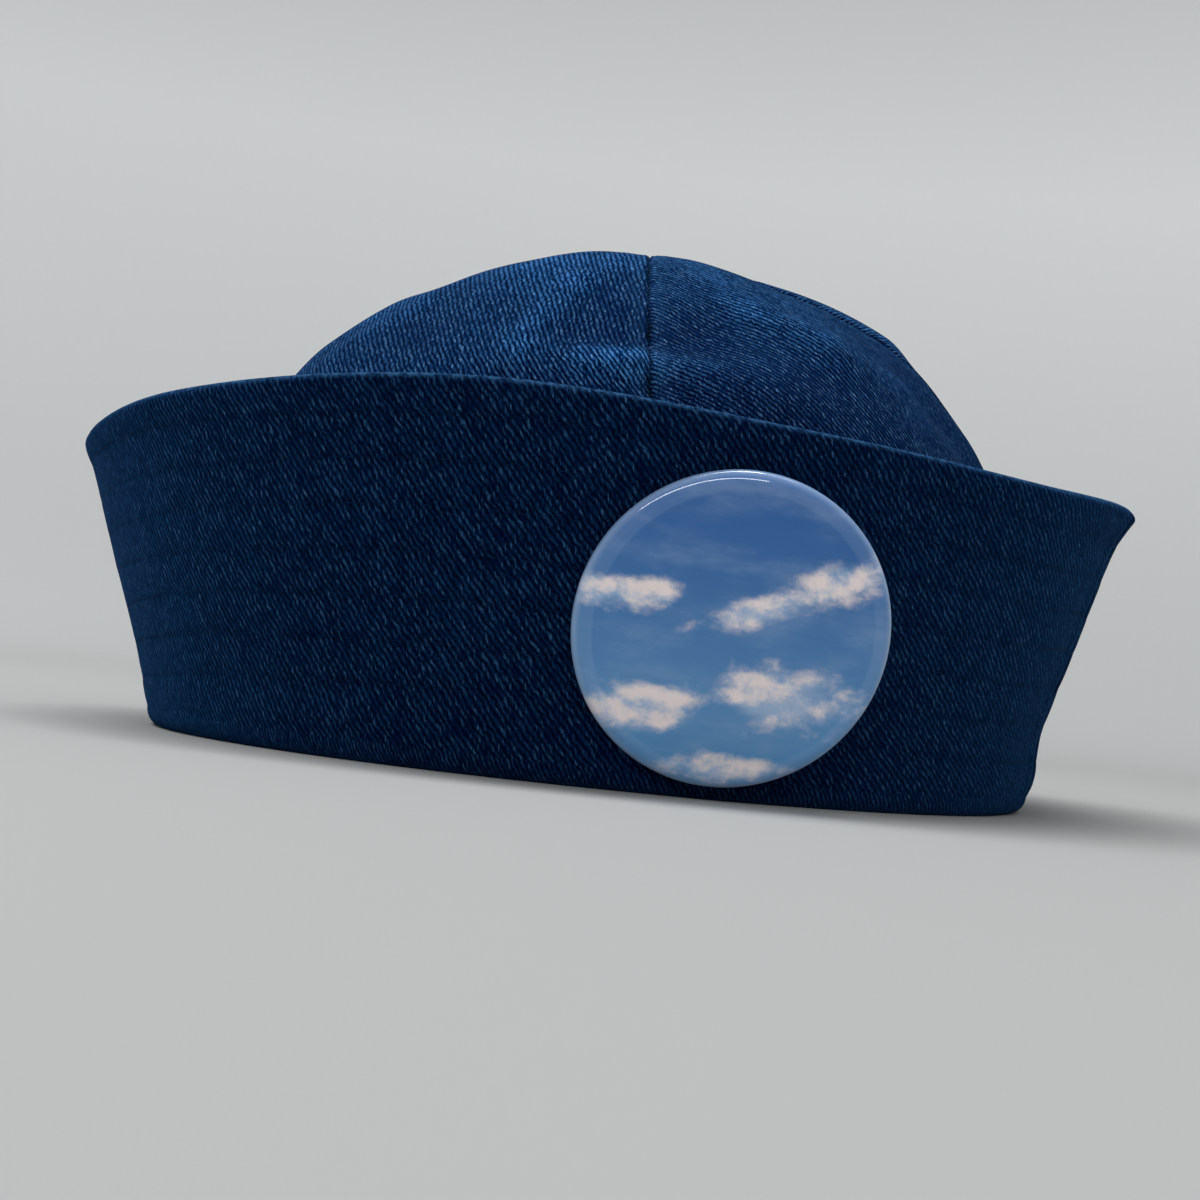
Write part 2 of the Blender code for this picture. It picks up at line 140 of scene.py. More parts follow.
# Soft lines on the crown, each between two places on its dome: its folds and hollows with their heights,
# and then where it is paler or darker than around the line, as wear mixed with painted light and painted
# shade
Line = namedtuple("Line", "azimuth share end_azimuth end_share half_width amount")
CROWN_FOLDS = (
    Line(25, 0.33, 26.5, 0.60, 0.0040, 0.0016),
    Line(34, 0.44, 35, 0.58, 0.0080, -0.0016),
    Line(33, 0.400, 43, 0.405, 0.0060, -0.0009),
    Line(36, 0.345, 40, 0.340, 0.0052, 0.0016),
    Line(46, 0.400, 53, 0.400, 0.0060, -0.0004),
    Line(43, 0.350, 52, 0.348, 0.0038, 0.0009),
    Line(37, 0.55, 50, 0.54, 0.0065, 0.0008),
    Line(52, 0.44, 55, 0.56, 0.0080, -0.0014),
    Line(60, 0.56, 80, 0.46, 0.0075, 0.0014),
    Line(80, 0.46, 100, 0.42, 0.0075, 0.0010),
    Line(114, 0.30, 106, 0.78, 0.0100, -0.0030),
    Line(117, 0.62, 122, 0.53, 0.0070, -0.0009),
    Line(39, 0.79, 40, 0.84, 0.0028, -0.0008),
    Line(135, 0.60, 134, 0.82, 0.0080, 0.0028),
    Line(4, 0.40, -4, 0.60, 0.0080, -0.0010),
    Line(-16, 0.36, -8, 0.50, 0.0060, 0.0006),
    Line(-60, 0.42, -38, 0.46, 0.0080, -0.0004),
    Line(-34, 0.42, -28, 0.54, 0.0075, 0.0008),
    Line(-22, 0.63, -9, 0.71, 0.0080, -0.0009),
    Line(-66, 0.30, -40, 0.33, 0.0070, 0.0010),
    Line(-100, 0.40, -92, 0.62, 0.0080, -0.0012),
    Line(178, 0.36, -160, 0.40, 0.0070, -0.0013),
    Line(176, 0.26, -158, 0.30, 0.0060, 0.0010),
)
CROWN_WEAR_AND_PAINTED_LIGHT = (
    Line(35, 0.368, 41, 0.366, 0.0068, 1.10),
    Line(47, 0.392, 60, 0.400, 0.0038, 0.60),
    Line(37, 0.345, 42, 0.340, 0.0055, 0.70),
    Line(26, 0.34, 25, 0.43, 0.0045, 0.30),
    Line(-14, 0.37, 10, 0.42, 0.0100, -0.20),
    Line(-10, 0.34, -6, 0.41, 0.0060, -0.35),
    Line(-14, 0.65, 10, 0.67, 0.0090, 0.55),
    Line(10, 0.45, 15, 0.55, 0.0060, -0.20),
    Line(38, 0.48, 47, 0.55, 0.0075, -0.25),
    Line(66, 0.36, 64, 0.41, 0.0040, -0.45),
    Line(72, 0.55, 72, 0.58, 0.0050, -0.25),
    Line(65, 0.60, 60, 0.72, 0.0060, 0.30),
    Line(84, 0.36, 98, 0.50, 0.0095, -0.32),
    Line(34, 0.57, 32, 0.72, 0.0060, 0.25),
    Line(113, 0.34, 110, 0.66, 0.0070, 1.25),
)

# Each gore starts at a seam; its cloth was cut this many degrees off the straight grain and pulled
# this hard towards its tip
Gore = namedtuple("Gore", "node start off_grain pull")
GORES = (
    Gore("crown_gore_left", FIRST_SEAM_AZIMUTH, -3, 2.7),
    Gore("crown_gore_back", FIRST_SEAM_AZIMUTH + 90, 7, 1.5),
    Gore("crown_gore_right", FIRST_SEAM_AZIMUTH + 180, -4, 1.5),
    Gore("crown_gore_front", FIRST_SEAM_AZIMUTH + 270, 14, 1.2),
)


def mix(low, high, share):
    return low + (high - low) * share


def ease(start, end, value):
    """0 before start and 1 past end, with a smooth rise between."""
    t = np.clip((value - start) / (end - start), 0, 1)
    return t * t * (3 - 2 * t)


def unit(vectors):
    return vectors / np.linalg.norm(vectors, axis=-1, keepdims=True)


def heading(azimuth):
    """The level unit vector along an azimuth."""
    angle = np.radians(azimuth)
    return np.stack([np.sin(angle), -np.cos(angle), np.zeros_like(angle)], -1)


def around(azimuth, column):
    """A column of the brim's table at any azimuth, on a smooth closed curve through its rows."""
    values = np.array([getattr(station, column) for station in BRIM_STATIONS])
    place = (azimuth - BRIM_STATIONS[0].azimuth) * len(BRIM_STATIONS) / 360
    row = np.floor(place).astype(int)
    t = place - row
    before, start, end, after = (values[(row + k) % len(values)] for k in (-1, 0, 1, 2))
    leave, arrive = (end - before) / 2, (after - start) / 2
    return (
        start * (2 * t**3 - 3 * t**2 + 1)
        + end * (3 * t**2 - 2 * t**3)
        + leave * (t**3 - 2 * t**2 + t)
        + arrive * (t**3 - t**2)
    )


def patches(turn, rise, cells_round, cells_up, seed):
    """Smooth random relief from -1 to 1 that closes round the cap, where turn and rise run from 0 to 1."""
    lattice = np.random.default_rng(seed).uniform(-1, 1, (cells_round, cells_up + 2))
    x, y = np.broadcast_arrays(turn % 1 * cells_round, np.clip(rise, 0, 1) * cells_up)
    column, row = np.floor(x).astype(int), np.floor(y).astype(int)
    across, up = ease(0, 1, x - column), ease(0, 1, y - row)
    first, second = column % cells_round, (column + 1) % cells_round
    low = mix(lattice[first, row], lattice[second, row], across)
    high = mix(lattice[first, row + 1], lattice[second, row + 1], across)
    return mix(low, high, up)


def oval_point(azimuth, half_length, half_width, centre, height):
    """The point of an oval that lies along the azimuth from the oval's centre."""
    angle = np.radians(azimuth)
    turn = np.arctan2(np.sin(angle) / half_width, np.cos(angle) / half_length)
    x = centre[0] + half_width * np.sin(turn)
    y = centre[1] - half_length * np.cos(turn)
    return np.stack(np.broadcast_arrays(x, y, height), -1)


def badge_axes():
    """The badge's own directions: to its right, up its face, and out of it."""
    tilt = math.radians(BADGE_TILT)
    out = heading(BADGE_FACING) * math.cos(tilt) - np.array([0, 0, math.sin(tilt)])
    right = unit(np.cross([0, 0, 1], out))
    return right, np.cross(out, right), out


def plain_brim_point(azimuth, share):
    """The brim's outer face before the badge presses on it, share 0 at the fold and 1 at the top edge."""
    swell = mix(around(azimuth, "foot_swell"), around(azimuth, "rim_swell"), share)
    curled = np.maximum(0, (share - CURL_START) / (1 - CURL_START))
    swell = swell + around(azimuth, "rim_curl") * curled**2
    swell = swell + around(azimuth, "fold_bulge") * ease(BULGE_TOP, BULGE_FULL, share)
    centre = [mix(low, high, share) for low, high in zip(FOOT_CENTRE, RIM_CENTRE)]
    return oval_point(
        azimuth,
        mix(FOOT_HALF_LENGTH, RIM_HALF_LENGTH, share) + swell,
        mix(FOOT_HALF_WIDTH, RIM_HALF_WIDTH, share) + swell,
        centre,
        around(azimuth, "rim_height") * share,
    )


def badge_seat():
    """The point of the brim behind the middle of the badge."""
    azimuth = np.array(BADGE_AZIMUTH)
    return plain_brim_point(azimuth, BADGE_HEIGHT / around(azimuth, "rim_height"))


def brim_point(azimuth, share):
    """The brim's outer face, drawn toward the plane of the badge's back where the badge presses on it."""
    point = plain_brim_point(azimuth, share)
    off = point - badge_seat()
    out = badge_axes()[2]
    height = (off @ out)[..., None]
    beside = np.linalg.norm(off - out * height, axis=-1, keepdims=True) / FLATTEN_REACH
    near = np.linalg.norm(off, axis=-1, keepdims=True) < FLATTEN_LIMIT
    return point - np.where(near, out * height * FLATTEN_SHARE * np.exp(-(beside**4)), 0)


def brim_normal(azimuth, share):
    """The outward unit normal of the brim's outer face."""
    along = brim_point(azimuth + 0.6, share) - brim_point(azimuth - 0.6, share)
    up = brim_point(azimuth, np.minimum(share + 0.02, 1)) - brim_point(azimuth, share - 0.02)
    return unit(np.cross(along, up))


def inward(azimuth):
    """The level unit vector into the cap, square to the brim's foot."""
    level = brim_normal(azimuth, FOLD_RISE / around(azimuth, "rim_height")) * [1, 1, 0]
    return -unit(level)


def foot_point(azimuth, reach, height):
    """A point of the fold: reach inward of the wall's outer face just above the fold."""
    start = brim_point(azimuth, FOLD_RISE / around(azimuth, "rim_height"))
    point = start + inward(azimuth) * reach
    point[..., 2] = height
    return point


def swell_point(azimuth):
    """The crown's outer face at the height where its wall stands upright."""
    ridge = 1 + RIDGE * np.cos(np.radians(4 * (azimuth - FIRST_SEAM_AZIMUTH)))
    return oval_point(
        azimuth, CROWN_HALF_LENGTH * ridge, CROWN_HALF_WIDTH * ridge, CROWN_CENTRE, SWELL_HEIGHT
    )


def lower_crown_point(azimuth, height, reach=0.0):
    """The crown's outer face between the fold and its swell, or a face that lies reach inside it."""
    low = foot_point(azimuth, BRIM_WALL + 2 * GAP, 0)
    rise = np.asarray(ease(0, SWELL_HEIGHT, height))[..., None]
    point = mix(low, swell_point(azimuth), rise) + inward(azimuth) * reach
    point[..., 2] = height
    return point


def dome_point(azimuth, share):
    """The crown's outer face above its swell, share 1 at the apex."""
    angle = share * math.pi / 2
    across = np.cos(angle)
    rise = np.sin(angle) ** (2 / DOME_POWER)
    edge = swell_point(azimuth)
    x = CROWN_CENTRE[0] + APEX_SHIFT[0] * rise
    y = CROWN_CENTRE[1] + APEX_SHIFT[1] * rise
    point = np.stack(
        np.broadcast_arrays(
            x + (edge[..., 0] - CROWN_CENTRE[0]) * across,
            y + (edge[..., 1] - CROWN_CENTRE[1]) * across,
            mix(SWELL_HEIGHT, APEX_HEIGHT, rise),
        ),
        -1,
    )
    out = unit(point - np.stack(np.broadcast_arrays(x, y, np.full_like(x, SWELL_HEIGHT)), -1))
    depth = 0.0
    for dent in CROWN_DENTS:
        turn = ((azimuth - dent.azimuth + 180) % 360 - 180) / dent.half_angle
        lift = (point[..., 2] - dent.height) / dent.half_height
        depth = depth + dent.depth * np.exp(-(turn**2) - lift**2)
    return point + out * (depth * (1 - share**8))[..., None]


# ---------------------------------------------------------------- meshes and pieces


def deselect():
    if bpy.context.mode != "OBJECT":
        bpy.ops.object.mode_set(mode="OBJECT")
    bpy.ops.object.select_all(action="DESELECT")


def cloth_mesh(name, corners, faces, grain, masks):
    """A mesh of quads with the grain of its cloth as a UV map, in metres, and its masks as attributes."""
    mesh = bpy.data.meshes.new(name)
    mesh.from_pydata(corners.tolist(), [], faces.tolist())
    layer = mesh.uv_layers.new(name="grain")
    layer.data.foreach_set("uv", np.ascontiguousarray(grain, np.float32).ravel())
    for title, values in masks.items():
        attribute = mesh.attributes.new(title, "FLOAT", "POINT")
        attribute.data.foreach_set("value", np.ascontiguousarray(values, np.float32).ravel())
    sheet = bmesh.new()
    sheet.from_mesh(mesh)
    bmesh.ops.remove_doubles(sheet, verts=sheet.verts, dist=MERGE_DISTANCE)
    sheet.to_mesh(mesh)
    sheet.free()
    mesh.shade_smooth()
    return mesh


def grid_faces(columns, rows):
    """Quads between neighbouring corners of a table of columns and rows."""
    column, row = np.meshgrid(np.arange(columns - 1), np.arange(rows - 1), indexing="ij")
    low = column * rows + row
    return np.stack([low, low + rows, low + rows + 1, low + 1], -1).reshape(-1, 4)


def closed_faces(columns, rows):
    """Quads of a tube that closes both round the cap and round its own section."""
    column, row = np.meshgrid(np.arange(columns), np.arange(rows), indexing="ij")
    next_column, next_row = (column + 1) % columns, (row + 1) % rows
    faces = [column * rows + row, next_column * rows + row]
    faces += [next_column * rows + next_row, column * rows + next_row]
    return np.stack(faces, -1).reshape(-1, 4)


def turn_shape(name, profile, steps):
    """Extrudes a disc ring by ring along (radius, height) pairs, and leaves its last ring selected."""
    deselect()
    radius, height = profile[0]
    bpy.ops.mesh.primitive_circle_add(vertices=steps, radius=radius, fill_type="TRIFAN", location=(0, 0, 0))
    made = bpy.context.object
    made.name = name
    bpy.ops.object.mode_set(mode="EDIT")
    bpy.ops.mesh.select_all(action="SELECT")
    bpy.ops.transform.translate(value=(0, 0, height))
    bpy.ops.mesh.region_to_loop()
    for next_radius, next_height in profile[1:]:
        bpy.ops.mesh.extrude_edges_move(TRANSFORM_OT_translate={"value": (0, 0, next_height - height)})
        share = next_radius / radius
        bpy.ops.transform.resize(value=(share, share, 1), center_override=(0, 0, next_height))
        radius, height = next_radius, next_height
    return made


def link_piece(mesh):
    piece = bpy.data.objects.new(mesh.name, mesh)
    bpy.context.scene.collection.objects.link(piece)
    return piece


def set_material(piece, material):
    piece.data.materials.clear()
    piece.data.materials.append(material)


def finish_piece(piece, material, nodes=()):
    """Gives a piece its material and slot, lets it ride on the cap, and hides the solids it stands for."""
    set_material(piece, material)
    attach(piece, "root")
    if nodes:
        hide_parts(*nodes)


# ---------------------------------------------------------------- shader nodes

# Blue that the cloth's gloss and its fuzz take from the dye
GLOSS_TINT = (0.1, 0.4, 1.0, 1)
FUZZ_TINT = (0.07, 0.36, 0.95, 1)

# Twill: how many yarns make one repeat, how long the warp lies on top in it, how far the yarns wander,
# and how much each kind of unevenness adds to the wear of the dye
REPEAT = 4.0
FLOAT_SHARE = 0.8
WANDER = 0.0012
WANDER_SCALE = 420.0
YARN_WEAR = 0.3
FLOAT_WEAR = 0.8
FIBRE_WEAR = 1.2
PATCH_WEAR = 2.2

# Printed sky: the middle of each bank of clouds on the unit disc, its half width and half height,
# and how it leans
Bank = namedtuple("Bank", "across up half_width half_height lean")
CLOUD_BANKS = (
    Bank(-0.50, -0.50, 0.60, 0.20, 0.20),
    Bank(0.42, -0.40, 0.55, 0.24, -0.14),
    Bank(-0.66, 0.20, 0.40, 0.14, 0.10),
    Bank(0.12, 0.16, 0.42, 0.13, 0.34),
    Bank(0.62, 0.40, 0.34, 0.16, 0.20),
    Bank(-0.05, -0.86, 0.50, 0.12, 0.00),
)
# Scale, detail, roughness and distortion of the puffs, and the step by which their lit side is found
PUFFS = (2.6, 8.0, 0.6, 0.15)
LIT_STEP = (-0.05, 0.11, 0.0)


def opaque(colour):
    return (*colour, 1)


class Wiring:
    """Places and joins the nodes of one tree."""

    def __init__(self, tree):
        self.tree = tree

    def fill(self, node, inputs):
        """Sets a node's inputs from values or from other nodes' outputs."""
        for key, value in inputs.items():
            if isinstance(value, bpy.types.NodeSocket):
                self.tree.links.new(value, node.inputs[key])
            else:
                node.inputs[key].default_value = value

    def add(self, kind, inputs=None, **settings):
        node = self.tree.nodes.new(kind)
        for name, value in settings.items():
            setattr(node, name, value)
        self.fill(node, inputs or {})
        return node

    def math(self, operation, *values):
        return self.add("ShaderNodeMath", dict(enumerate(values)), operation=operation).outputs[0]

    def plus(self, first, second):
        return self.math("ADD", first, second)

    def minus(self, first, second):
        return self.math("SUBTRACT", first, second)

    def times(self, first, second):
        return self.math("MULTIPLY", first, second)

    def limit(self, value, low, high):
        return self.math("MINIMUM", self.math("MAXIMUM", value, low), high)

    def vary(self, value, amount):
        """An amount times how far a value from 0 to 1 lies off its middle."""
        return self.times(self.minus(value, 0.5), amount)

    def vector(self, operation, inputs):
        return self.add("ShaderNodeVectorMath", inputs, operation=operation).outputs

    def rise(self, value, start, end, low=0.0, high=1.0):
        """low before start and high past end, with a smooth step between."""
        inputs = {"Value": value, "From Min": start, "From Max": end, "To Min": low, "To Max": high}
        return self.add("ShaderNodeMapRange", inputs, interpolation_type="SMOOTHSTEP").outputs[0]

    def blend(self, factor, first, second, how="MIX"):
        inputs = {0: factor, 6: first, 7: second}
        return self.add("ShaderNodeMix", inputs, data_type="RGBA", blend_type=how).outputs[2]

    def noise(self, place, scale, detail=2.0, roughness=0.5, distortion=0.0):
        inputs = {"Vector": place, "Scale": scale, "Detail": detail, "Roughness": roughness}
        return self.add("ShaderNodeTexNoise", {**inputs, "Distortion": distortion}).outputs["Fac"]

    def stretch(self, place, scale, location=(0.0, 0.0, 0.0), rotation=(0.0, 0.0, 0.0)):
        inputs = {"Vector": place, "Scale": scale, "Location": location, "Rotation": rotation}
        return self.add("ShaderNodeMapping", inputs).outputs[0]

    def mask(self, name):
        return self.add("ShaderNodeAttribute", attribute_name=name).outputs["Fac"]

    def bump(self, height, strength, distance):
        inputs = {"Strength": strength, "Distance": distance, "Height": height}
        return self.add("ShaderNodeBump", inputs).outputs[0]

    def grey(self, value):
        return self.add("ShaderNodeCombineColor", {0: value, 1: value, 2: value}).outputs[0]


def group_tree(name, inputs, outputs):
    """A shader node group with its sockets, given as (name, kind, default), and the wiring to fill it."""
    tree = bpy.data.node_groups.new(name, "ShaderNodeTree")
    for title, kind, default in inputs:
        socket = tree.interface.new_socket(title, in_out="INPUT", socket_type="NodeSocket" + kind)
        if default is not None:
            socket.default_value = default
    for title, kind in outputs:
        tree.interface.new_socket(title, in_out="OUTPUT", socket_type="NodeSocket" + kind)
    wiring = Wiring(tree)
    return wiring, wiring.add("NodeGroupInput").outputs, wiring.add("NodeGroupOutput")


def twill_group():
    """Left-hand twill, three threads over and one under, with its own dye tone on each float."""
    name = "twill_weave"
    if name in bpy.data.node_groups:
        return bpy.data.node_groups[name]
    w, given, result = group_tree(
        name,
        (
            ("Grain", "Vector", None),
            ("Warp Pitch", "Float", 0.00034),
            ("Weft Pitch", "Float", 0.0005),
            ("Dye", "Color", (0.01, 0.03, 0.1, 1)),
            ("Faded", "Color", (0.1, 0.2, 0.4, 1)),
            ("Fleck", "Color", (0.15, 0.25, 0.4, 1)),
            ("Weft", "Color", (0.2, 0.3, 0.5, 1)),
            ("Fading", "Float", 0.3),
            ("Flecks", "Float", 0.3),
            ("Weft Show", "Float", 0.3),
            ("Mottle", "Float", 0.5),
            ("Blotches", "Float", 1.5),
            # Strength of the painted shade between the yarns
            ("Depth", "Float", 0.6),
        ),
        (("Color", "Color"), ("Roughness", "Float"), ("Height", "Float")),
    )
    grain = given["Grain"]

    # The yarns wander a little, and a wale is a diagonal of floats
    wander = w.add("ShaderNodeTexNoise", {"Vector": grain, "Scale": WANDER_SCALE, "Detail": 2.0})
    wander = w.vector("SUBTRACT", {0: wander.outputs["Color"], 1: (0.5, 0.5, 0.5)})[0]
    wander = w.vector("SCALE", {0: wander, "Scale": WANDER})[0]
    split = w.add("ShaderNodeSeparateXYZ", {0: w.vector("ADD", {0: grain, 1: wander})[0]}).outputs
    x = w.math("DIVIDE", split[0], given["Warp Pitch"])
    y = w.math("DIVIDE", split[1], given["Weft Pitch"])
    stray = w.add("ShaderNodeCombineXYZ", {0: w.times(w.math("FLOOR", x), 7.3), 1: w.times(y, 0.45)})
    stray = w.vary(w.noise(stray.outputs[0], 1.0, 1.0), 0.6)
    laps = w.plus(w.math("DIVIDE", w.plus(x, y), REPEAT), stray)
    wale, along = w.math("FLOOR", laps), w.math("FRACT", laps)
    leaning = w.plus(x, w.times(w.minus(along, 0.375), 0.7))
    yarn = w.math("FLOOR", leaning)
    beside = w.minus(w.math("FRACT", leaning), 0.5)

    # How far a float stands up, along it and across it
    over = w.times(w.math("MINIMUM", w.math("DIVIDE", along, FLOAT_SHARE), 1.0), math.pi)
    over = w.math("POWER", w.math("MAXIMUM", w.math("SINE", over), 0.0), 0.9)
    standing = w.times(over, w.minus(1.0, w.times(w.times(beside, beside), 2.8)))

    # Unevenness, from single floats to patches of a few centimetres
    cell = w.add("ShaderNodeCombineXYZ", {0: yarn, 1: wale}).outputs[0]
    tone = w.add("ShaderNodeTexWhiteNoise", {"Vector": cell}, noise_dimensions="2D").outputs["Value"]
    yarn_tone = w.add("ShaderNodeTexWhiteNoise", {"W": yarn}, noise_dimensions="1D").outputs["Value"]
    cloud = w.noise(grain, 60.0, 3.0, 0.6)
    blotch = w.noise(grain, 230.0, 3.0, 0.65)
    patch = w.noise(grain, 650.0, 2.0, 0.6)
    slanted = w.stretch(grain, (1.0, 0.42, 1.0), rotation=(0.0, 0.0, -0.16))
    fibre = w.rise(w.noise(slanted, 2000.0, 2.0, 0.8), 0.38, 0.64)

    fleck = w.math("POWER", w.math("MAXIMUM", w.plus(tone, w.vary(patch, 1.1)), 0.0), 3.0)
    fleck = w.times(fleck, w.math("POWER", over, 2.0))
    fleck = w.times(fleck, w.plus(w.times(fibre, 1.3), 0.25))
    fleck = w.times(fleck, given["Flecks"])
    worn = w.vary(cloud, given["Mottle"])
    for unevenness, amount in (
        (blotch, given["Blotches"]),
        (yarn_tone, YARN_WEAR),
        (tone, FLOAT_WEAR),
        (fibre, FIBRE_WEAR),
        (patch, PATCH_WEAR),
    ):
        worn = w.plus(worn, w.vary(unevenness, amount))
    worn = w.times(w.plus(worn, 1.0), given["Fading"])
    fade = w.limit(w.times(worn, w.plus(w.times(over, 0.8), 0.2)), 0.0, 1.0)

    colour = w.blend(fade, given["Dye"], given["Faded"])
    colour = w.blend(w.math("MINIMUM", fleck, 1.0), colour, given["Fleck"])
    under = w.times(w.rise(along, 0.72, 0.84), given["Weft Show"])
    colour = w.blend(under, colour, given["Weft"])
    # Between the yarns the cloth takes painted shade, and its red darkens first
    sunk = w.times(w.minus(1.0, standing), w.rise(patch, 0.3, 0.6, 0.6, 1.0))
    shade = w.math("MAXIMUM", w.minus(1.0, w.times(sunk, given["Depth"])), 0.02)
    red_shade, blue_shade = w.math("POWER", shade, 1.6), w.math("POWER", shade, 0.7)
    depth = w.add("ShaderNodeCombineColor", {0: red_shade, 1: shade, 2: blue_shade}).outputs[0]
    fuzz = w.noise(grain, 2600.0, 2.0, 0.7)
    outputs = {
        "Color": w.blend(1.0, colour, depth, "MULTIPLY"),
        "Roughness": w.minus(0.95, w.times(fade, 0.1)),
        "Height": w.plus(w.times(standing, 0.8), w.times(fuzz, 0.3)),
    }
    w.fill(result, outputs)
    return w.tree


def sky_group():
    """A generic daytime sky on the unit disc: a blue gradient with banks of soft clouds, lit from above,
    and a painted reflection paling its rim.
    """
    name = "printed_sky"
    if name in bpy.data.node_groups:
        return bpy.data.node_groups[name]
    w, given, result = group_tree(
        name,
        (
            ("Place", "Vector", None),
            ("High", "Color", (0.03, 0.11, 0.27, 1)),
            ("Low", "Color", (0.1, 0.2, 0.36, 1)),
            ("Cloud", "Color", (0.6, 0.46, 0.42, 1)),
            ("Cloud Shade", "Color", (0.2, 0.24, 0.34, 1)),
        ),
        (("Color", "Color"),),
    )
    place = given["Place"]
    split = w.add("ShaderNodeSeparateXYZ", {0: place}).outputs
    sky = w.blend(w.rise(split[1], -1.0, 0.9), given["Low"], given["High"])
    banks = None
    for bank in CLOUD_BANKS:
        across = w.minus(split[0], bank.across)
        up = w.minus(w.minus(split[1], bank.up), w.times(across, bank.lean))
        reach = w.plus(
            w.math("POWER", w.math("ABSOLUTE", w.math("DIVIDE", across, bank.half_width)), 2.0),
            w.math("POWER", w.math("ABSOLUTE", w.math("DIVIDE", up, bank.half_height)), 2.0),
        )
        cover = w.math("EXPONENT", w.times(reach, -1.0))
        banks = cover if banks is None else w.math("MAXIMUM", banks, cover)
    wide_place = w.stretch(place, (1.0, 1.35, 1.0), (3.1, 1.7, 0.0))
    puffs = w.noise(wide_place, *PUFFS)
    lit_puffs = w.noise(w.stretch(wide_place, (1.0, 1.0, 1.0), LIT_STEP), *PUFFS)
    mask = w.rise(w.plus(w.times(banks, 0.55), puffs), 0.70, 1.02)
    lit = w.rise(w.minus(puffs, lit_puffs), -0.12, 0.12)
    cloud = w.blend(lit, given["Cloud Shade"], given["Cloud"])
    thin = w.rise(w.noise(w.stretch(place, (0.7, 2.0, 1.0), (7.0, 2.0, 0.0)), 2.0, 5.0, 0.6), 0.4, 0.8)
    sky = w.blend(w.times(thin, 0.3), sky, given["Cloud Shade"])
    sky = w.blend(w.times(mask, 0.95), sky, cloud)
    # A painted reflection: the print turns paler near the badge's rim
    reach = w.vector("LENGTH", {0: place})["Value"]
    edge = w.plus(w.rise(reach, 0.868, 0.892, 0.0, 0.12), w.rise(reach, 0.95, 1.0, 0.0, 0.45))
    w.fill(result, {"Color": w.blend(edge, sky, given["Cloud Shade"])})
    return w.tree


def new_material(name):
    """A material with its wiring and its Principled shader."""
    made = bpy.data.materials.new(name)
    made.use_nodes = True
    return made, Wiring(made.node_tree), made.node_tree.nodes["Principled BSDF"]


def denim_material(name, settings):
    """Twill with a worn edge, which on the brim's top edge is also a painted highlight, and painted shade
    in its tucks, from the piece's grain map and masks.
    """
    made, w, shader = new_material(name)
    grain = w.add("ShaderNodeUVMap", uv_map="grain").outputs[0]
    inputs = {
        "Grain": grain,
        "Warp Pitch": settings.warp_pitch,
        "Weft Pitch": settings.weft_pitch,
        "Dye": opaque(settings.dye),
        "Faded": opaque(settings.faded),
        "Fleck": opaque(settings.fleck),
        "Weft": opaque(settings.weft),
        # The wash mask holds wear with painted light and shade on the crown, and painted shade on the brim
        "Fading": w.times(w.plus(w.mask("wash"), 1.0), settings.fading),
        "Flecks": settings.flecks,
        "Weft Show": settings.weft_show,
        "Mottle": settings.mottle,
        "Blotches": settings.blotches,
        "Depth": settings.depth,
    }
    weave = w.add("ShaderNodeGroup", inputs, node_tree=twill_group()).outputs
    # Paler along the worn mask: wear beside the crown's seams, and wear with a painted highlight along the
    # brim's top edge
    rub_and_highlight = w.times(w.mask("worn"), w.rise(w.noise(grain, 700.0, 3.0, 0.7), 0.38, 0.62, 0.1, 1.0))
    colour = w.blend(rub_and_highlight, weave["Color"], opaque(settings.rubbed_and_highlight))
    # Painted shade: the tuck mask darkens the brim's rows of stitches and seams and the crown's seams, by a
    # random amount
    deep = w.rise(w.noise(grain, 140.0, 2.0), 0.3, 0.7, 0.12, 0.5)
    dark = w.grey(w.minus(1.0, w.times(w.mask("tuck"), deep)))
    finish = {
        "Base Color": w.blend(1.0, colour, dark, "MULTIPLY"),
        "Roughness": weave["Roughness"],
        "Normal": w.bump(weave["Height"], 0.7, 0.00015),
        "Specular IOR Level": 0.01,
        "Specular Tint": GLOSS_TINT,
        "Sheen Weight": settings.sheen,
        "Sheen Roughness": 0.5,
        "Sheen Tint": FUZZ_TINT,
    }
    w.fill(shader, finish)
    return made


def thread_material(settings):
    """Tonal sewing thread with its ply."""
    made, w, shader = new_material("sewing_thread")
    ply = w.noise(w.add("ShaderNodeTexCoord").outputs["Object"], 2400.0, 2.0, 0.6)
    light = [tone * 2.2 for tone in settings.thread]
    finish = {
        "Base Color": w.blend(ply, opaque(settings.thread), opaque(light)),
        "Roughness": w.rise(ply, 0.2, 0.8, 0.65, 0.85),
        "Normal": w.bump(ply, 0.5, 0.00005),
        "Specular IOR Level": 0.04,
        "Specular Tint": GLOSS_TINT,
    }
    w.fill(shader, finish)
    return made


def steel_material():
    """Plain bright steel with fine brushing and a little staining."""
    made, w, shader = new_material("badge_steel")
    place = w.add("ShaderNodeTexCoord").outputs["Object"]
    brushed = w.noise(w.stretch(place, (1.0, 1.0, 14.0)), 1500.0, 3.0, 0.6)
    stain = w.noise(place, 120.0, 3.0, 0.6)
    finish = {
        "Base Color": w.blend(stain, (0.66, 0.66, 0.67, 1), (0.48, 0.49, 0.5, 1)),
        "Roughness": w.rise(stain, 0.3, 0.8, 0.24, 0.42),
        "Normal": w.bump(brushed, 0.25, 0.00003),
        "Metallic": 1.0,
    }
    w.fill(shader, finish)
    return made


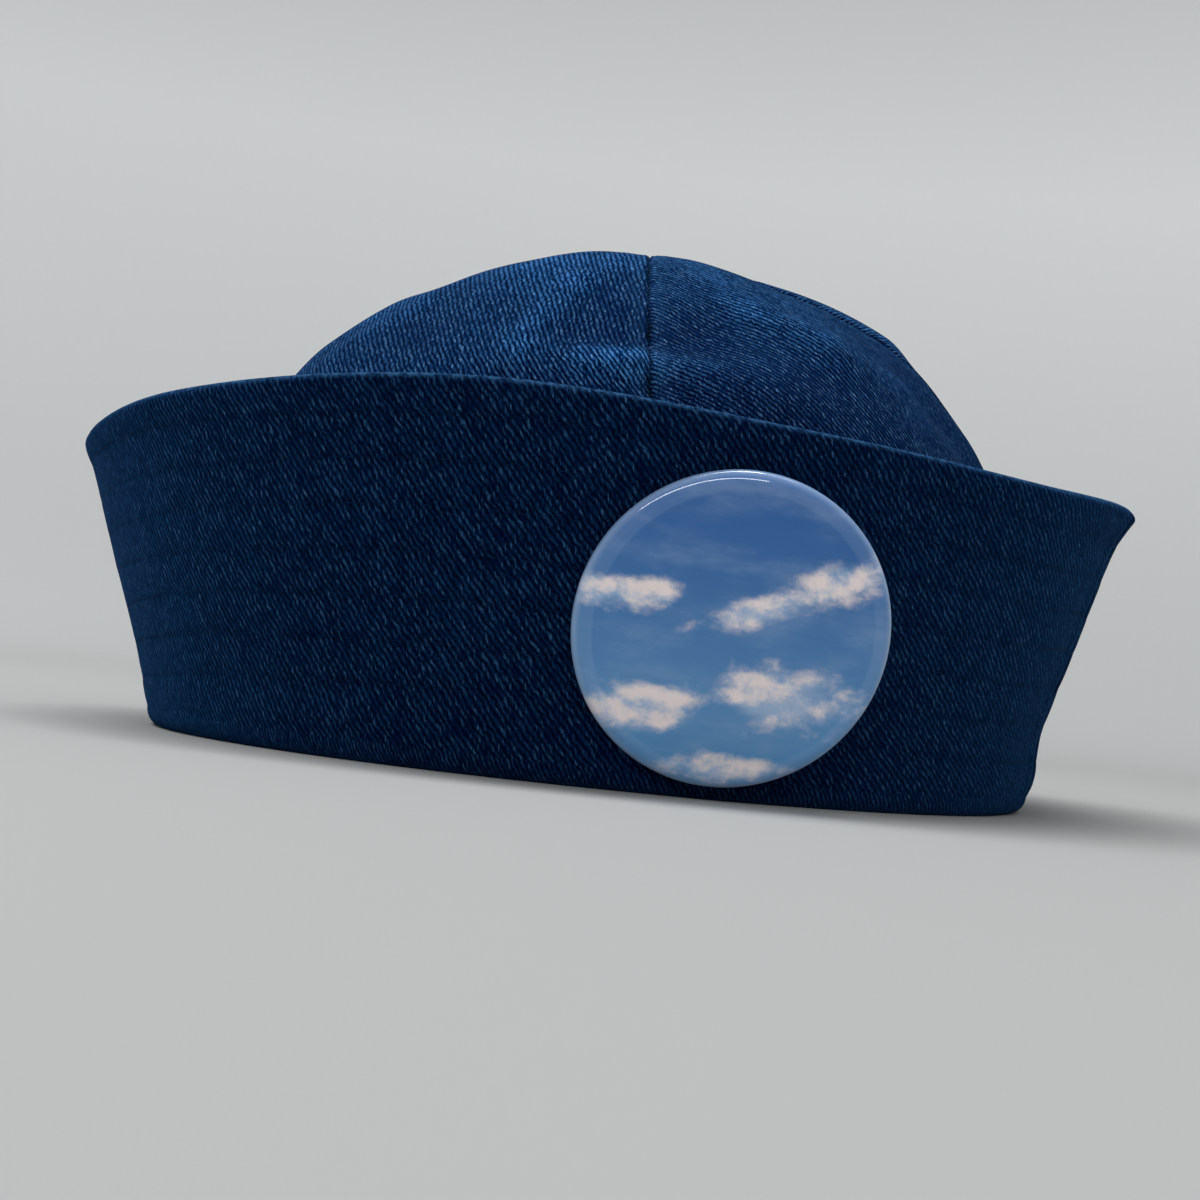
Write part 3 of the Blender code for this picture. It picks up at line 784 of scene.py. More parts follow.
def film_material(settings):
    """A printed sky under a clear gloss film."""
    made, w, shader = new_material("badge_film")
    place = w.add("ShaderNodeUVMap", uv_map="print").outputs[0]
    inputs = {
        "Place": place,
        "High": opaque(settings.sky_high),
        "Low": opaque(settings.sky_low),
        "Cloud": opaque(settings.cloud),
        "Cloud Shade": opaque(settings.cloud_shade_and_rim_reflection),
    }
    sky = w.add("ShaderNodeGroup", inputs, node_tree=sky_group()).outputs[0]
    finish = {
        "Base Color": sky,
        "Roughness": w.rise(w.noise(place, 9.0, 3.0, 0.6), 0.3, 0.8, 0.4, 0.55),
        "Normal": w.bump(w.noise(place, 2.2, 1.0), 0.2, 0.0002),
        "Specular IOR Level": 0.05,
        "Coat Weight": 1.0,
        "Coat Roughness": 0.02,
        "Coat IOR": 1.62,
    }
    w.fill(shader, finish)
    return made


# ---------------------------------------------------------------- settings

COLOUR = {"subtype": "COLOR", "size": 3, "min": 0, "max": 1}
LENGTH = {"subtype": "DISTANCE", "unit": "LENGTH", "precision": 5}
FACTOR = {"subtype": "FACTOR", "min": 0, "max": 1}


class DenimSettings(bpy.types.PropertyGroup):
    dye: bpy.props.FloatVectorProperty(
        name="Dye",
        description="Colour of the indigo warp where it has kept its dye",
        default=(0.0006, 0.0045, 0.028),
        **COLOUR,
    )
    faded: bpy.props.FloatVectorProperty(
        name="Faded",
        description="Colour of the warp where it has lost its dye",
        default=(0.014, 0.100, 0.27),
        **COLOUR,
    )
    fleck: bpy.props.FloatVectorProperty(
        name="Fleck",
        description="Colour of the palest floats of the warp",
        default=(0.055, 0.135, 0.26),
        **COLOUR,
    )
    weft: bpy.props.FloatVectorProperty(
        name="Weft",
        description="Colour of the weft between the wales",
        default=(0.0006, 0.005, 0.025),
        **COLOUR,
    )
    # On the brim's top edge this colour stands for wear and a painted highlight together
    rubbed_and_highlight: bpy.props.FloatVectorProperty(
        name="Rubbed",
        description="Colour of a worn edge",
        default=(0.022, 0.075, 0.165),
        **COLOUR,
    )
    thread: bpy.props.FloatVectorProperty(
        name="Thread",
        description="Colour of the sewing thread",
        default=(0.0012, 0.008, 0.036),
        **COLOUR,
    )
    warp_pitch: bpy.props.FloatProperty(
        name="Warp Pitch",
        description="Distance between neighbouring warp yarns",
        default=0.000338,
        **LENGTH,
    )
    weft_pitch: bpy.props.FloatProperty(
        name="Weft Pitch",
        description="Distance between neighbouring weft yarns",
        default=0.000515,
        **LENGTH,
    )
    fading: bpy.props.FloatProperty(
        name="Fading", description="How far the dye has washed out", default=0.15, **FACTOR
    )
    flecks: bpy.props.FloatProperty(
        name="Flecks", description="Strength of the light floats", default=0.48, **FACTOR
    )
    weft_show: bpy.props.FloatProperty(
        name="Weft Show", description="How much of the weft shows", default=0.3, **FACTOR
    )
    mottle: bpy.props.FloatProperty(
        name="Mottle", description="Unevenness of the wash", min=0, max=4, default=1.2
    )
    blotches: bpy.props.FloatProperty(
        name="Blotches",
        description="Unevenness of the wear over a few millimetres",
        min=0,
        max=6,
        default=2.4,
    )
    # Depth sets how strong the painted shade between the wales is
    depth: bpy.props.FloatProperty(
        name="Depth", description="How dark the weave is between its wales", default=0.75, **FACTOR
    )
    sheen: bpy.props.FloatProperty(
        name="Sheen", description="Strength of the cloth's fuzz", default=0.12, **FACTOR
    )


class BrimSettings(bpy.types.PropertyGroup):
    puff: bpy.props.FloatProperty(
        name="Puff",
        description="How far the cloth stands out between two rows of stitches",
        default=0.00045,
        **LENGTH,
    )
    row_depth: bpy.props.FloatProperty(
        name="Row Depth",
        description="How deep a row of stitches draws the cloth in",
        default=0.00028,
        **LENGTH,
    )
    stitch_pitch: bpy.props.FloatProperty(
        name="Stitch Pitch",
        description="Distance from one stitch to the next",
        default=0.0030,
        **LENGTH,
    )
    stitch_length: bpy.props.FloatProperty(
        name="Stitch Length",
        description="Length of thread that shows in one stitch",
        default=0.0023,
        **LENGTH,
    )
    thread_radius: bpy.props.FloatProperty(
        name="Thread Radius",
        description="Half the thickness of the sewing thread",
        default=0.00013,
        **LENGTH,
    )


class CrownSettings(bpy.types.PropertyGroup):
    crease: bpy.props.FloatProperty(
        name="Crease",
        description="How deep a seam draws the cloth in",
        default=0.0007,
        **LENGTH,
    )
    crease_reach: bpy.props.FloatProperty(
        name="Crease Reach",
        description="How far beside a seam its crease reaches",
        default=0.0005,
        **LENGTH,
    )
    pucker: bpy.props.FloatProperty(
        name="Pucker",
        description="Height of the small puckers beside a seam",
        default=0.00035,
        **LENGTH,
    )
    rumple: bpy.props.FloatProperty(
        name="Rumple",
        description="Height of the soft unevenness all over the crown",
        default=0.0005,
        **LENGTH,
    )


class BadgeSettings(bpy.types.PropertyGroup):
    sky_high: bpy.props.FloatVectorProperty(
        name="Sky, Top",
        description="Colour of the print's sky at the top",
        default=(0.003, 0.1, 0.345),
        **COLOUR,
    )
    sky_low: bpy.props.FloatVectorProperty(
        name="Sky, Bottom",
        description="Colour of the print's sky at the bottom",
        default=(0.085, 0.275, 0.55),
        **COLOUR,
    )
    cloud: bpy.props.FloatVectorProperty(
        name="Clouds",
        description="Colour of the print's clouds where they are lit",
        default=(0.92, 0.80, 0.77),
        **COLOUR,
    )
    # This colour also paints the reflection that pales the badge's rim
    cloud_shade_and_rim_reflection: bpy.props.FloatVectorProperty(
        name="Cloud Shade",
        description="Colour of the print's clouds in their own shade",
        default=(0.34, 0.47, 0.68),
        **COLOUR,
    )


class StageSettings(bpy.types.PropertyGroup):
    backdrop: bpy.props.FloatVectorProperty(
        name="Backdrop",
        description="Colour of the backdrop where it rises from the floor",
        default=(0.51, 0.52, 0.52),
        **COLOUR,
    )
    backdrop_top: bpy.props.FloatVectorProperty(
        name="Backdrop Top",
        description="Colour of the backdrop high up",
        default=(0.88, 0.89, 0.89),
        **COLOUR,
    )
    floor: bpy.props.FloatVectorProperty(
        name="Floor",
        description="Colour of the floor",
        default=(0.32, 0.325, 0.325),
        **COLOUR,
    )
    floor_reach: bpy.props.FloatProperty(
        name="Floor Reach",
        description="How far the level floor goes before it turns up",
        default=1.1,
        **LENGTH,
    )
    bend: bpy.props.FloatProperty(
        name="Bend",
        description="Radius of the curve by which the floor turns up into the backdrop",
        default=1.5,
        **LENGTH,
    )
    lens: bpy.props.FloatProperty(
        name="Lens", description="Focal length of the camera", unit="CAMERA", default=57.54
    )


class CapSettings(bpy.types.PropertyGroup):
    brim: bpy.props.PointerProperty(type=BrimSettings)
    crown: bpy.props.PointerProperty(type=CrownSettings)
    badge: bpy.props.PointerProperty(type=BadgeSettings)
    stage: bpy.props.PointerProperty(type=StageSettings)
    brim_denim: bpy.props.PointerProperty(type=DenimSettings)
    crown_denim: bpy.props.PointerProperty(type=DenimSettings)


# ---------------------------------------------------------------- brim

BAND_STEPS = 8
EDGE_STEPS = 9
BRIM_COLUMNS = 541
SEAM_COLUMNS = (0.1, 0.22, 0.36, 0.55, 0.8)

# Random relief: cells round the cap, cells up it, and its seed
PUFF_CELLS = (42, 8, 3)
PUCKER_CELLS = (168, 16, 5)
PUCKER_HEIGHT = 0.00013
BRIM_UNEVENNESS = (((11, 2, 7), 0.00028), ((31, 5, 9), 0.00016))
PUFF_VARIETY = 0.35
ARCH_POWER = 0.7
LOW_BAND_START = 0.3
PUCKER_REACH = 0.28
CALM_FOOT = 0.16
INNER_RELIEF = 0.5

# A brim seam: its crease, and where the allowances pressed open under it begin and end, in degrees
CREASE_DEPTH = 0.0010
CREASE_HALF_ANGLE = 0.28
ALLOWANCE_HEIGHT = 0.00045
ALLOWANCE_EDGE = (4.2, 2.6)
ALLOWANCE_FOLD = (0.1, 0.9)

# The brim is cut in two pieces that curve on the flat cloth with a radius of 1 / FLARE at MIDDLE_RISE
FLARE = 3.1
MIDDLE_RISE = 0.033

# Reach of the paler band along the brim's top edge: wear with a painted highlight
RUB_REACH = 0.0009
ROW_SHADE_REACH = 0.16
SEAM_SHADE_ANGLE = 0.2
# Painted shade: the brim's dye is darkened round this azimuth, over this half angle and by this much
BRIM_SHADE_AZIMUTH = 72.0
BRIM_SHADE_HALF_ANGLE = 35.0
BRIM_PAINTED_SHADE = -0.2


def row_shares(azimuth):
    """Shares of the brim's height at the rows of stitches, lowest first."""
    low, top = around(azimuth, "low_row"), around(azimuth, "top_row")
    return np.stack([mix(low, top, k / (STITCH_ROWS - 1)) for k in range(STITCH_ROWS)], -1)


def band_grid(azimuth):
    """Shares of the height at every row of corners, and where each lies in its band between two rows."""
    height = around(azimuth, "rim_height")[:, None]
    edges = np.concatenate([FOLD_RISE / height, row_shares(azimuth), 1 - BRIM_WALL / 2 / height], 1)
    shares, places, bands = [edges[:, :1]], [0.0], [0]
    for band in range(edges.shape[1] - 1):
        for step in range(1, BAND_STEPS + 1):
            place = step / BAND_STEPS
            shares.append(mix(edges[:, band : band + 1], edges[:, band + 1 : band + 2], place))
            places.append(place)
            bands.append(band)
    return np.concatenate(shares, 1), np.array(places), np.array(bands)


def brim_unevenness(turn, shares):
    """The soft unevenness of the brim's cloth."""
    return sum(patches(turn, shares, *cells) * height for cells, height in BRIM_UNEVENNESS)


def quilting(azimuth, shares, places, bands, settings):
    """How far the stitched cloth stands out from the plain wall at every corner."""
    turn = azimuth[:, None] / 360
    within = np.where(bands == 0, mix(LOW_BAND_START, 1, places), places)
    arch = np.maximum(0, 4 * within * (1 - within)) ** ARCH_POWER
    base = np.where(bands == 0, places, np.where(bands == STITCH_ROWS, 1 - places, 1.0))
    vary = 1 + PUFF_VARIETY * patches(turn, shares, *PUFF_CELLS)
    pucker = patches(turn, shares, *PUCKER_CELLS) * PUCKER_HEIGHT
    pucker = pucker * np.exp(-((np.minimum(places, 1 - places) / PUCKER_REACH) ** 2))
    relief = (pucker + brim_unevenness(turn, shares)) * ease(0.0, CALM_FOOT, shares)
    full = around(azimuth, "puff")[:, None]
    return full * (settings.puff * arch * vary - settings.row_depth * base) + relief


def from_seam(azimuth):
    """Degrees from the nearer of the brim's two seams, which face each other."""
    return np.abs((azimuth - BACK_SEAM_AZIMUTH + 90) % 180 - 90)


def seam_relief(azimuth):
    """How a seam shapes the outer face: a crease with the seam allowances pressed open under it."""
    off = from_seam(azimuth)
    crease = -CREASE_DEPTH * np.exp(-((off / CREASE_HALF_ANGLE) ** 1.4))
    return crease + ALLOWANCE_HEIGHT * ease(*ALLOWANCE_EDGE, off) * ease(*ALLOWANCE_FOLD, off)


def brim_columns():
    """Azimuths of the brim's columns of corners, from its back seam once round."""
    azimuth = list(np.linspace(0, 360, BRIM_COLUMNS))
    for seam in (0, 180, 360):
        azimuth += [seam + side * offset for offset in SEAM_COLUMNS for side in (-1, 1)]
    azimuth = np.unique(np.round(azimuth, 6))
    return BACK_SEAM_AZIMUTH + azimuth[(azimuth >= 0) & (azimuth <= 360)]


def top_edge(azimuth, outer, inner):
    """Rows of corners over the brim's rounded top edge, from its outer face to its inner one."""
    middle, out = (outer + inner) / 2, (outer - inner) / 2
    lift = unit(np.cross(out, heading(azimuth + 90)))
    lift = lift * np.sign(lift[:, 2:]) * BRIM_WALL / 2
    turns = np.linspace(0, math.pi, EDGE_STEPS)[1:-1]
    return [middle + out * math.cos(turn) + lift * math.sin(turn) for turn in turns]


def hem_rows(azimuth, foot):
    """Rows of corners down into the fold, up and down the short inner leg, and out round the fold."""
    inner, bend = CROWN_WALL + 2 * GAP, HEM_WALL / 2
    wall, top = inner + HEM_WALL, HEM_HEIGHT - HEM_WALL / 2
    rows = [foot_point(azimuth, BRIM_WALL + GAP, FOLD_FLOOR)]
    rows += [lower_crown_point(azimuth, height, inner) for height in np.linspace(FOLD_FLOOR, top, 6)]
    for turn in np.linspace(0, math.pi, 7)[1:-1]:
        reach = inner + bend * (1 - math.cos(turn))
        rows.append(lower_crown_point(azimuth, HEM_HEIGHT - bend * (1 - math.sin(turn)), reach))
    rows += [lower_crown_point(azimuth, height, wall) for height in np.linspace(top, HEM_CORNER, 6)]
    last = BRIM_WALL + 2 * GAP + wall - HEM_CORNER
    rows += [foot_point(azimuth, reach, 0.0) for reach in (last, mix(FOLD_REACH, last, 0.5))]
    for turn in np.linspace(0, math.pi / 2, 8)[:-1]:
        fold = foot_point(azimuth, FOLD_REACH * (1 - math.sin(turn)), FOLD_RISE * (1 - math.cos(turn)))
        rows.append(fold + foot * math.sin(turn) ** 2)
    return rows


def brim_cloth(settings):
    """Every row of the brim's cloth: up its outer face, down the inner one, round the hem and the fold."""
    azimuth = brim_columns()
    column = azimuth[:, None]
    shares, places, bands = band_grid(azimuth)
    face = brim_point(column, shares)
    normal = brim_normal(column, shares)
    seam = seam_relief(column) * ease(0.02, 0.1, shares)
    proud = quilting(azimuth, shares, places, bands, settings)
    outer = face + normal * (proud + seam)[..., None]
    back = quilting(azimuth + 180, shares, places, bands, settings) * INNER_RELIEF * ease(0.05, 0.2, shares)
    inner = (face - normal * (BRIM_WALL + back)[..., None])[:, :1:-2]
    edge = top_edge(azimuth, outer[:, -1], inner[:, 0])
    hem = hem_rows(azimuth, (outer - face)[:, 0])
    points = np.concatenate([outer, np.stack(edge, 1), inner, np.stack(hem, 1)], 1)
    return azimuth, points, outer.shape[1], len(edge)


def brim_grain(azimuth, points):
    """The place of each corner on the flat cloth: two curved pieces, each cut square at its middle."""
    level = brim_point(azimuth, np.full_like(azimuth, 0.5))
    along = np.concatenate([[0], np.cumsum(np.linalg.norm(np.diff(level, axis=0), axis=-1))])
    up = np.linalg.norm(np.diff(points, axis=1), axis=-1)
    up = np.concatenate([np.zeros((len(azimuth), 1)), np.cumsum(up, 1)], 1)
    half = len(azimuth) // 2
    first, second = along[half] / 2, (along[half] + along[-1]) / 2
    middles = np.where(np.arange(len(azimuth) - 1) < half, first, second)
    corners = []
    for column, row in ((0, 0), (1, 0), (1, 1), (0, 1)):
        last = column - 1 or None
        angle = ((along[column:last] - middles) * FLARE)[:, None]
        rise = 1 / FLARE + up[column:last, row : row - 1 or None] - MIDDLE_RISE
        corners.append(np.stack([np.sin(angle) * rise, np.cos(angle) * rise - 1 / FLARE], -1))
    return np.stack(corners, 2), up


def brim_masks(azimuth, up, outer_rows, edge_rows):
    """Where the brim is worn along its top edge, with a painted highlight there too; painted shade along
    its rows and seams; and painted shade on one stretch round the cap.
    """
    rows = up.shape[1] - 1
    # Wear and a painted highlight along the brim's rounded top edge
    rim = up[:, outer_rows + edge_rows // 2][:, None]
    worn = np.exp(-((np.abs(up[:, :-1] - rim) / RUB_REACH) ** 4))
    _shares, places, bands = band_grid(azimuth)
    # Painted shade along the rows of stitches, and down the seams
    tuck = np.zeros((len(azimuth), rows))
    near_row = np.minimum(places, 1 - places) * 2
    beside_row = (places > 0.5) | (bands > 0)
    tuck[:, :outer_rows] = np.where(beside_row, np.exp(-((near_row / ROW_SHADE_REACH) ** 2)), 0)
    tuck[:, outer_rows - BAND_STEPS // 2 : outer_rows] = 0
    seam = np.exp(-((from_seam(azimuth) / SEAM_SHADE_ANGLE) ** 2))[:, None]
    tuck = np.maximum(tuck, seam * (np.arange(rows) < outer_rows))
    # Painted shade: the wash mask darkens one stretch of the brim
    from_brim_shade = (azimuth - BRIM_SHADE_AZIMUTH + 180) % 360 - 180
    wash = np.repeat(BRIM_PAINTED_SHADE * np.exp(-((from_brim_shade / BRIM_SHADE_HALF_ANGLE) ** 2))[:, None], rows, 1)
    return {"worn": worn[:-1], "tuck": tuck[:-1], "wash": wash[:-1]}


class CAP_OT_brim(bpy.types.Operator):
    """Build the turned-up brim: stitched cloth with its top edge, seams, fold and inner hem"""

    bl_idname = "cap.brim"
    bl_label = "Brim"

    def execute(self, context):
        settings = context.scene.sailor_cap
        deselect()
        azimuth, points, outer_rows, edge_rows = brim_cloth(settings.brim)
        grain, up = brim_grain(azimuth, np.concatenate([points, points[:, :1]], 1))
        faces = closed_faces(points.shape[0] - 1, points.shape[1])
        masks = brim_masks(azimuth, up, outer_rows, edge_rows)
        mesh = cloth_mesh("brim_cloth", points[:-1].reshape(-1, 3), faces, grain.reshape(-1, 2), masks)
        material = denim_material("brim_denim", settings.brim_denim)
        finish_piece(link_piece(mesh), material, ["brim"])
        return {"FINISHED"}


class CAP_OT_stitching(bpy.types.Operator):
    """Sew the rows of tonal stitches round the brim, on both its faces"""

    bl_idname = "cap.stitching"
    bl_label = "Stitching"

    def execute(self, context):
        settings = context.scene.sailor_cap
        shape, polygons = self.one_stitch(settings.brim)
        material = thread_material(settings.brim_denim)
        for name, side in (("stitches_outside", 1), ("stitches_inside", -1)):
            corners, faces = [], []
            for places, along, up, out in self.rows(settings.brim, side):
                body = shape[None, :, :1] * along[:, None] + shape[None, :, 1:2] * up[:, None]
                body = body + shape[None, :, 2:] * out[:, None] + places[:, None]
                for copy in body:
                    start = len(corners)
                    corners.extend(copy.tolist())
                    faces.extend([[start + k for k in polygon] for polygon in polygons])
            mesh = bpy.data.meshes.new(name)
            mesh.from_pydata(corners, [], faces)
            mesh.shade_smooth()
            finish_piece(link_piece(mesh), material)
        return {"FINISHED"}

    def one_stitch(self, settings):
        """Corners and polygons of one stitch: a long bead along x."""
        deselect()
        bpy.ops.mesh.primitive_uv_sphere_add(segments=6, ring_count=4, radius=1)
        stitch = bpy.context.object
        bpy.ops.object.mode_set(mode="EDIT")
        bpy.ops.mesh.select_all(action="SELECT")
        bpy.ops.transform.rotate(value=math.radians(90), orient_axis="Y", center_override=(0, 0, 0))
        size = (settings.stitch_length / 2, settings.thread_radius, settings.thread_radius)
        bpy.ops.transform.resize(value=size, center_override=(0, 0, 0))
        bpy.ops.object.mode_set(mode="OBJECT")
        shape = np.array([corner.co for corner in stitch.data.vertices])
        polygons = [list(face.vertices) for face in stitch.data.polygons]
        bpy.data.objects.remove(stitch)
        return shape, polygons

    def rows(self, settings, side):
        """For each row, its stitches' middles and their directions: along the row, up the brim and out."""
        dense = np.linspace(BACK_SEAM_AZIMUTH + 0.6, BACK_SEAM_AZIMUTH + 359.4, 1441)
        for row in range(STITCH_ROWS):
            line = brim_point(dense, row_shares(dense)[:, row])
            length = np.concatenate([[0], np.cumsum(np.linalg.norm(np.diff(line, axis=0), axis=-1))])
            marks = np.arange(0.4, length[-1] / settings.stitch_pitch - 0.5) * settings.stitch_pitch
            azimuth = np.interp(marks, length, dense)
            share = row_shares(azimuth)[:, row]
            place = brim_point(azimuth, share)
            out = brim_normal(azimuth, share)
            along = unit(brim_point(azimuth + 0.3, row_shares(azimuth + 0.3)[:, row]) - place)
            full = around(azimuth if side > 0 else azimuth + 180, "puff")
            sunk = settings.row_depth * full + settings.thread_radius * 0.2
            reach = -sunk if side > 0 else -(BRIM_WALL - sunk * INNER_RELIEF)
            relief = self.relief(azimuth, share, side)
            yield place + out * (reach + relief)[:, None], along, np.cross(out, along), out

    def relief(self, azimuth, share, side):
        """The cloth's own relief on a row of stitches."""
        turn = (azimuth if side > 0 else azimuth + 180) / 360
        relief = patches(turn, share, *PUCKER_CELLS) * PUCKER_HEIGHT + brim_unevenness(turn, share)
        return relief * ease(0.0, CALM_FOOT, share) * (1 if side > 0 else -INNER_RELIEF)


# ---------------------------------------------------------------- crown

LOWER_ROWS = 12
DOME_ROWS = 96
GORE_COLUMNS = 72
EDGE_COLUMNS = (0.12, 0.28, 0.48, 0.75, 1.1, 1.6)
LOW_EDGE = FOLD_FLOOR + 3 * GAP

# The seam between the left and the back gore is pulled this many degrees towards the front left
LEFT_BACK_SEAM_AZIMUTH = FIRST_SEAM_AZIMUTH + 90
SEAM_PULL = 8.0
PULL_HALF_ANGLE = 22.0

# Random relief: cells round the cap, cells up it, and its seed
RUMPLES = (((17, 6, 21), 0.6), ((37, 13, 23), 0.4))
SEAM_PUCKER_CELLS = (48, 17, 25)
SEAM_PUCKER_REACH = 0.007
RAGGED_CELLS = (360, 90, 27)
RAGGED = 0.5

# Wash of the crown, with painted light and shade: its level all over, what folds add (wear and painted
# light on crests, painted shade in troughs), painted light with height, painted shade round the sides
PLAIN_WASH = 0.65
FOLD_WEAR_AND_PAINTED_LIGHT = 0.7
FOLD_WEAR_AND_PAINTED_LIGHT_HEIGHT = 0.0011
HIGH_PAINTED_LIGHT = 0.6
SIDE_PAINTED_SHADE = -0.5
SHADED_SIDE_AZIMUTH = 100.0
BACK_PAINTED_SHADE = -0.5
BACK_SHADE_HALF_ANGLE = 16.0
LEAST_WASH_AND_PAINTED_LIGHT = 0.2
LOW_TO_TOP_PAINTED_LIGHT = (0.84, 1.5)
TOP_PAINTED_LIGHT_HEIGHTS = (0.086, 0.108)

SEAM_SHADE = 2.0
SEAM_SHADE_REACH = 0.0005
SEAM_RUB = 0.12


def crown_rows():
    """Rows of the crown's corners as heights below its swell and shares above it."""
    heights = np.linspace(LOW_EDGE, SWELL_HEIGHT, LOWER_ROWS + 1)[:-1]
    return heights, np.linspace(0, 1, DOME_ROWS + 1)


def crown_face(azimuth):
    """The crown's smooth outer face: columns at azimuths of its low edge, rows up to the apex."""
    heights, shares = crown_rows()
    column = azimuth[:, None]
    lower = np.stack([lower_crown_point(azimuth, height) for height in heights], 1)
    pulled = np.exp(-(((column - LEFT_BACK_SEAM_AZIMUTH) / PULL_HALF_ANGLE) ** 2))
    pulled = pulled * ease(0.0, 0.45, shares) * ease(1, 0.75, shares)
    dome = dome_point(column - SEAM_TWIST * shares - SEAM_PULL * pulled, shares[None, :])
    return np.concatenate([lower, dome], 1)


def crown_normals(points):
    """Outward unit normals of a face of the crown, level with the apex at its top."""
    normal = np.cross(np.gradient(points, axis=0), np.gradient(points, axis=1))
    normal[:, -1] = (0, 0, 1)
    return unit(normal)


def crown_radius(points):
    """Level distance of each corner from the upright line through the apex."""
    level = [points[..., k] - CROWN_CENTRE[k] - APEX_SHIFT[k] for k in (0, 1)]
    return np.hypot(*level)


def sum_lines(points, lines):
    """At each corner of the crown, the sum of soft ridges along lines between two places on its dome."""
    total = np.zeros(points.shape[:-1])
    for line in lines:
        start = dome_point(np.array(float(line.azimuth)), np.array(line.share))
        end = dome_point(np.array(float(line.end_azimuth)), np.array(line.end_share))
        along = end - start
        place = np.clip((points - start) @ along / (along @ along), 0, 1)[..., None]
        gap = np.linalg.norm(points - start - place * along, axis=-1)
        total += line.amount * np.exp(-((gap / line.half_width) ** 2))
    return total


def gore_columns():
    """Azimuths across a gore from its first seam, closer together beside its seams."""
    steps = list(np.linspace(0, 90, GORE_COLUMNS + 1))
    steps += list(EDGE_COLUMNS) + [90 - offset for offset in EDGE_COLUMNS]
    return np.unique(np.round(steps, 6))


def crown_relief(azimuth, points, settings):
    """The crown's unevenness, its seams' crease, the distance from the nearest seam, and its folds."""
    turn = azimuth[:, None] / 360
    rise = points[..., 2] / APEX_HEIGHT
    shares = np.concatenate([np.zeros(LOWER_ROWS), crown_rows()[1]])
    calm = 1 - shares**6
    soft = sum(patches(turn, rise, *cells) * share for cells, share in RUMPLES)
    relief = soft * settings.rumple * calm
    off = np.abs((azimuth - FIRST_SEAM_AZIMUTH + 45) % 90 - 45)
    beside = np.radians(off)[:, None] * crown_radius(points)
    pucker = patches(turn, rise, *SEAM_PUCKER_CELLS) * settings.pucker * calm
    relief = relief + pucker * np.exp(-beside / SEAM_PUCKER_REACH)
    folds = sum_lines(points, CROWN_FOLDS) * calm
    ragged = 1 + RAGGED * patches(turn, rise, *RAGGED_CELLS)
    crease = settings.crease * np.exp(-((beside / settings.crease_reach / ragged) ** 1.2))
    return relief + folds, crease * (1 - 0.7 * shares**20), beside, folds


def crown_wash_and_painted_light(gore, azimuth, points, folds):
    """Where the crown has lost more dye, with painted light and shade mixed in: wear and painted light on
    its folds, painted light near its top, and painted shade round to the side and on the back gore.
    """
    side = np.cos(np.radians(azimuth - SHADED_SIDE_AZIMUTH))[:, None]
    back = np.exp(-(((azimuth - gore.start) / BACK_SHADE_HALF_ANGLE) ** 2))[:, None]
    back = back * (gore.start == LEFT_BACK_SEAM_AZIMUTH)
    high = ease(0.045, APEX_HEIGHT, points[..., 2])
    # Folds turn paler on their crests, as wear and painted light, and darker in their troughs as painted
    # shade
    wash = PLAIN_WASH + FOLD_WEAR_AND_PAINTED_LIGHT * np.clip(folds / FOLD_WEAR_AND_PAINTED_LIGHT_HEIGHT, -0.7, 1)
    # Painted light higher up; painted shade round to the side and on the back gore
    wash = wash + HIGH_PAINTED_LIGHT * high + SIDE_PAINTED_SHADE * side + BACK_PAINTED_SHADE * back
    # More painted light near the top, and the listed lines add wear with painted light and painted shade
    top = mix(*LOW_TO_TOP_PAINTED_LIGHT, ease(*TOP_PAINTED_LIGHT_HEIGHTS, points[..., 2]))
    return np.maximum(wash, LEAST_WASH_AND_PAINTED_LIGHT) * top * (1 + sum_lines(points, CROWN_WEAR_AND_PAINTED_LIGHT)) - 1


def gore_grain(steps, points, off_grain, pull):
    """The place of each corner on the flat cloth of a gore."""
    off = np.radians(steps - 45)[:, None]
    middle = len(steps) // 2
    up = np.linalg.norm(np.diff(points[middle], axis=0), axis=-1)
    up = np.concatenate([[0], np.cumsum(up)])[None, :]
    radius = crown_radius(points)
    slope = -np.gradient(radius[middle]) / np.gradient(up[0])
    tip = np.clip(pull * slope, 0, 0.6 * pull)[None, :]
    across = radius * off
    up = up + radius * (1 - np.cos(off)) * tip
    turn = math.radians(off_grain)
    flat = [across * math.cos(turn) + up * math.sin(turn), up * math.cos(turn) - across * math.sin(turn)]
    return np.stack(flat, -1)


def shell(outer, inner, grain):
    """Corners, quads and grain of a cloth wall between two faces, closed along three of its sides."""
    columns, rows = outer.shape[:2]
    count = columns * rows
    corners = np.concatenate([outer.reshape(-1, 3), inner.reshape(-1, 3)])
    front = grid_faces(columns, rows)
    back = (front + count)[:, ::-1]
    column = np.arange(columns - 1) * rows
    low = np.stack([column, column + count, column + rows + count, column + rows], -1)
    row = np.arange(rows - 1)
    first = np.stack([row, row + 1, row + 1 + count, row + count], -1)
    end = row + (columns - 1) * rows
    last = np.stack([end, end + count, end + 1 + count, end + 1], -1)
    faces = np.concatenate([front, back, low, first, last])
    places = np.concatenate([grain.reshape(-1, 2)] * 2)
    return corners, faces, places[faces]


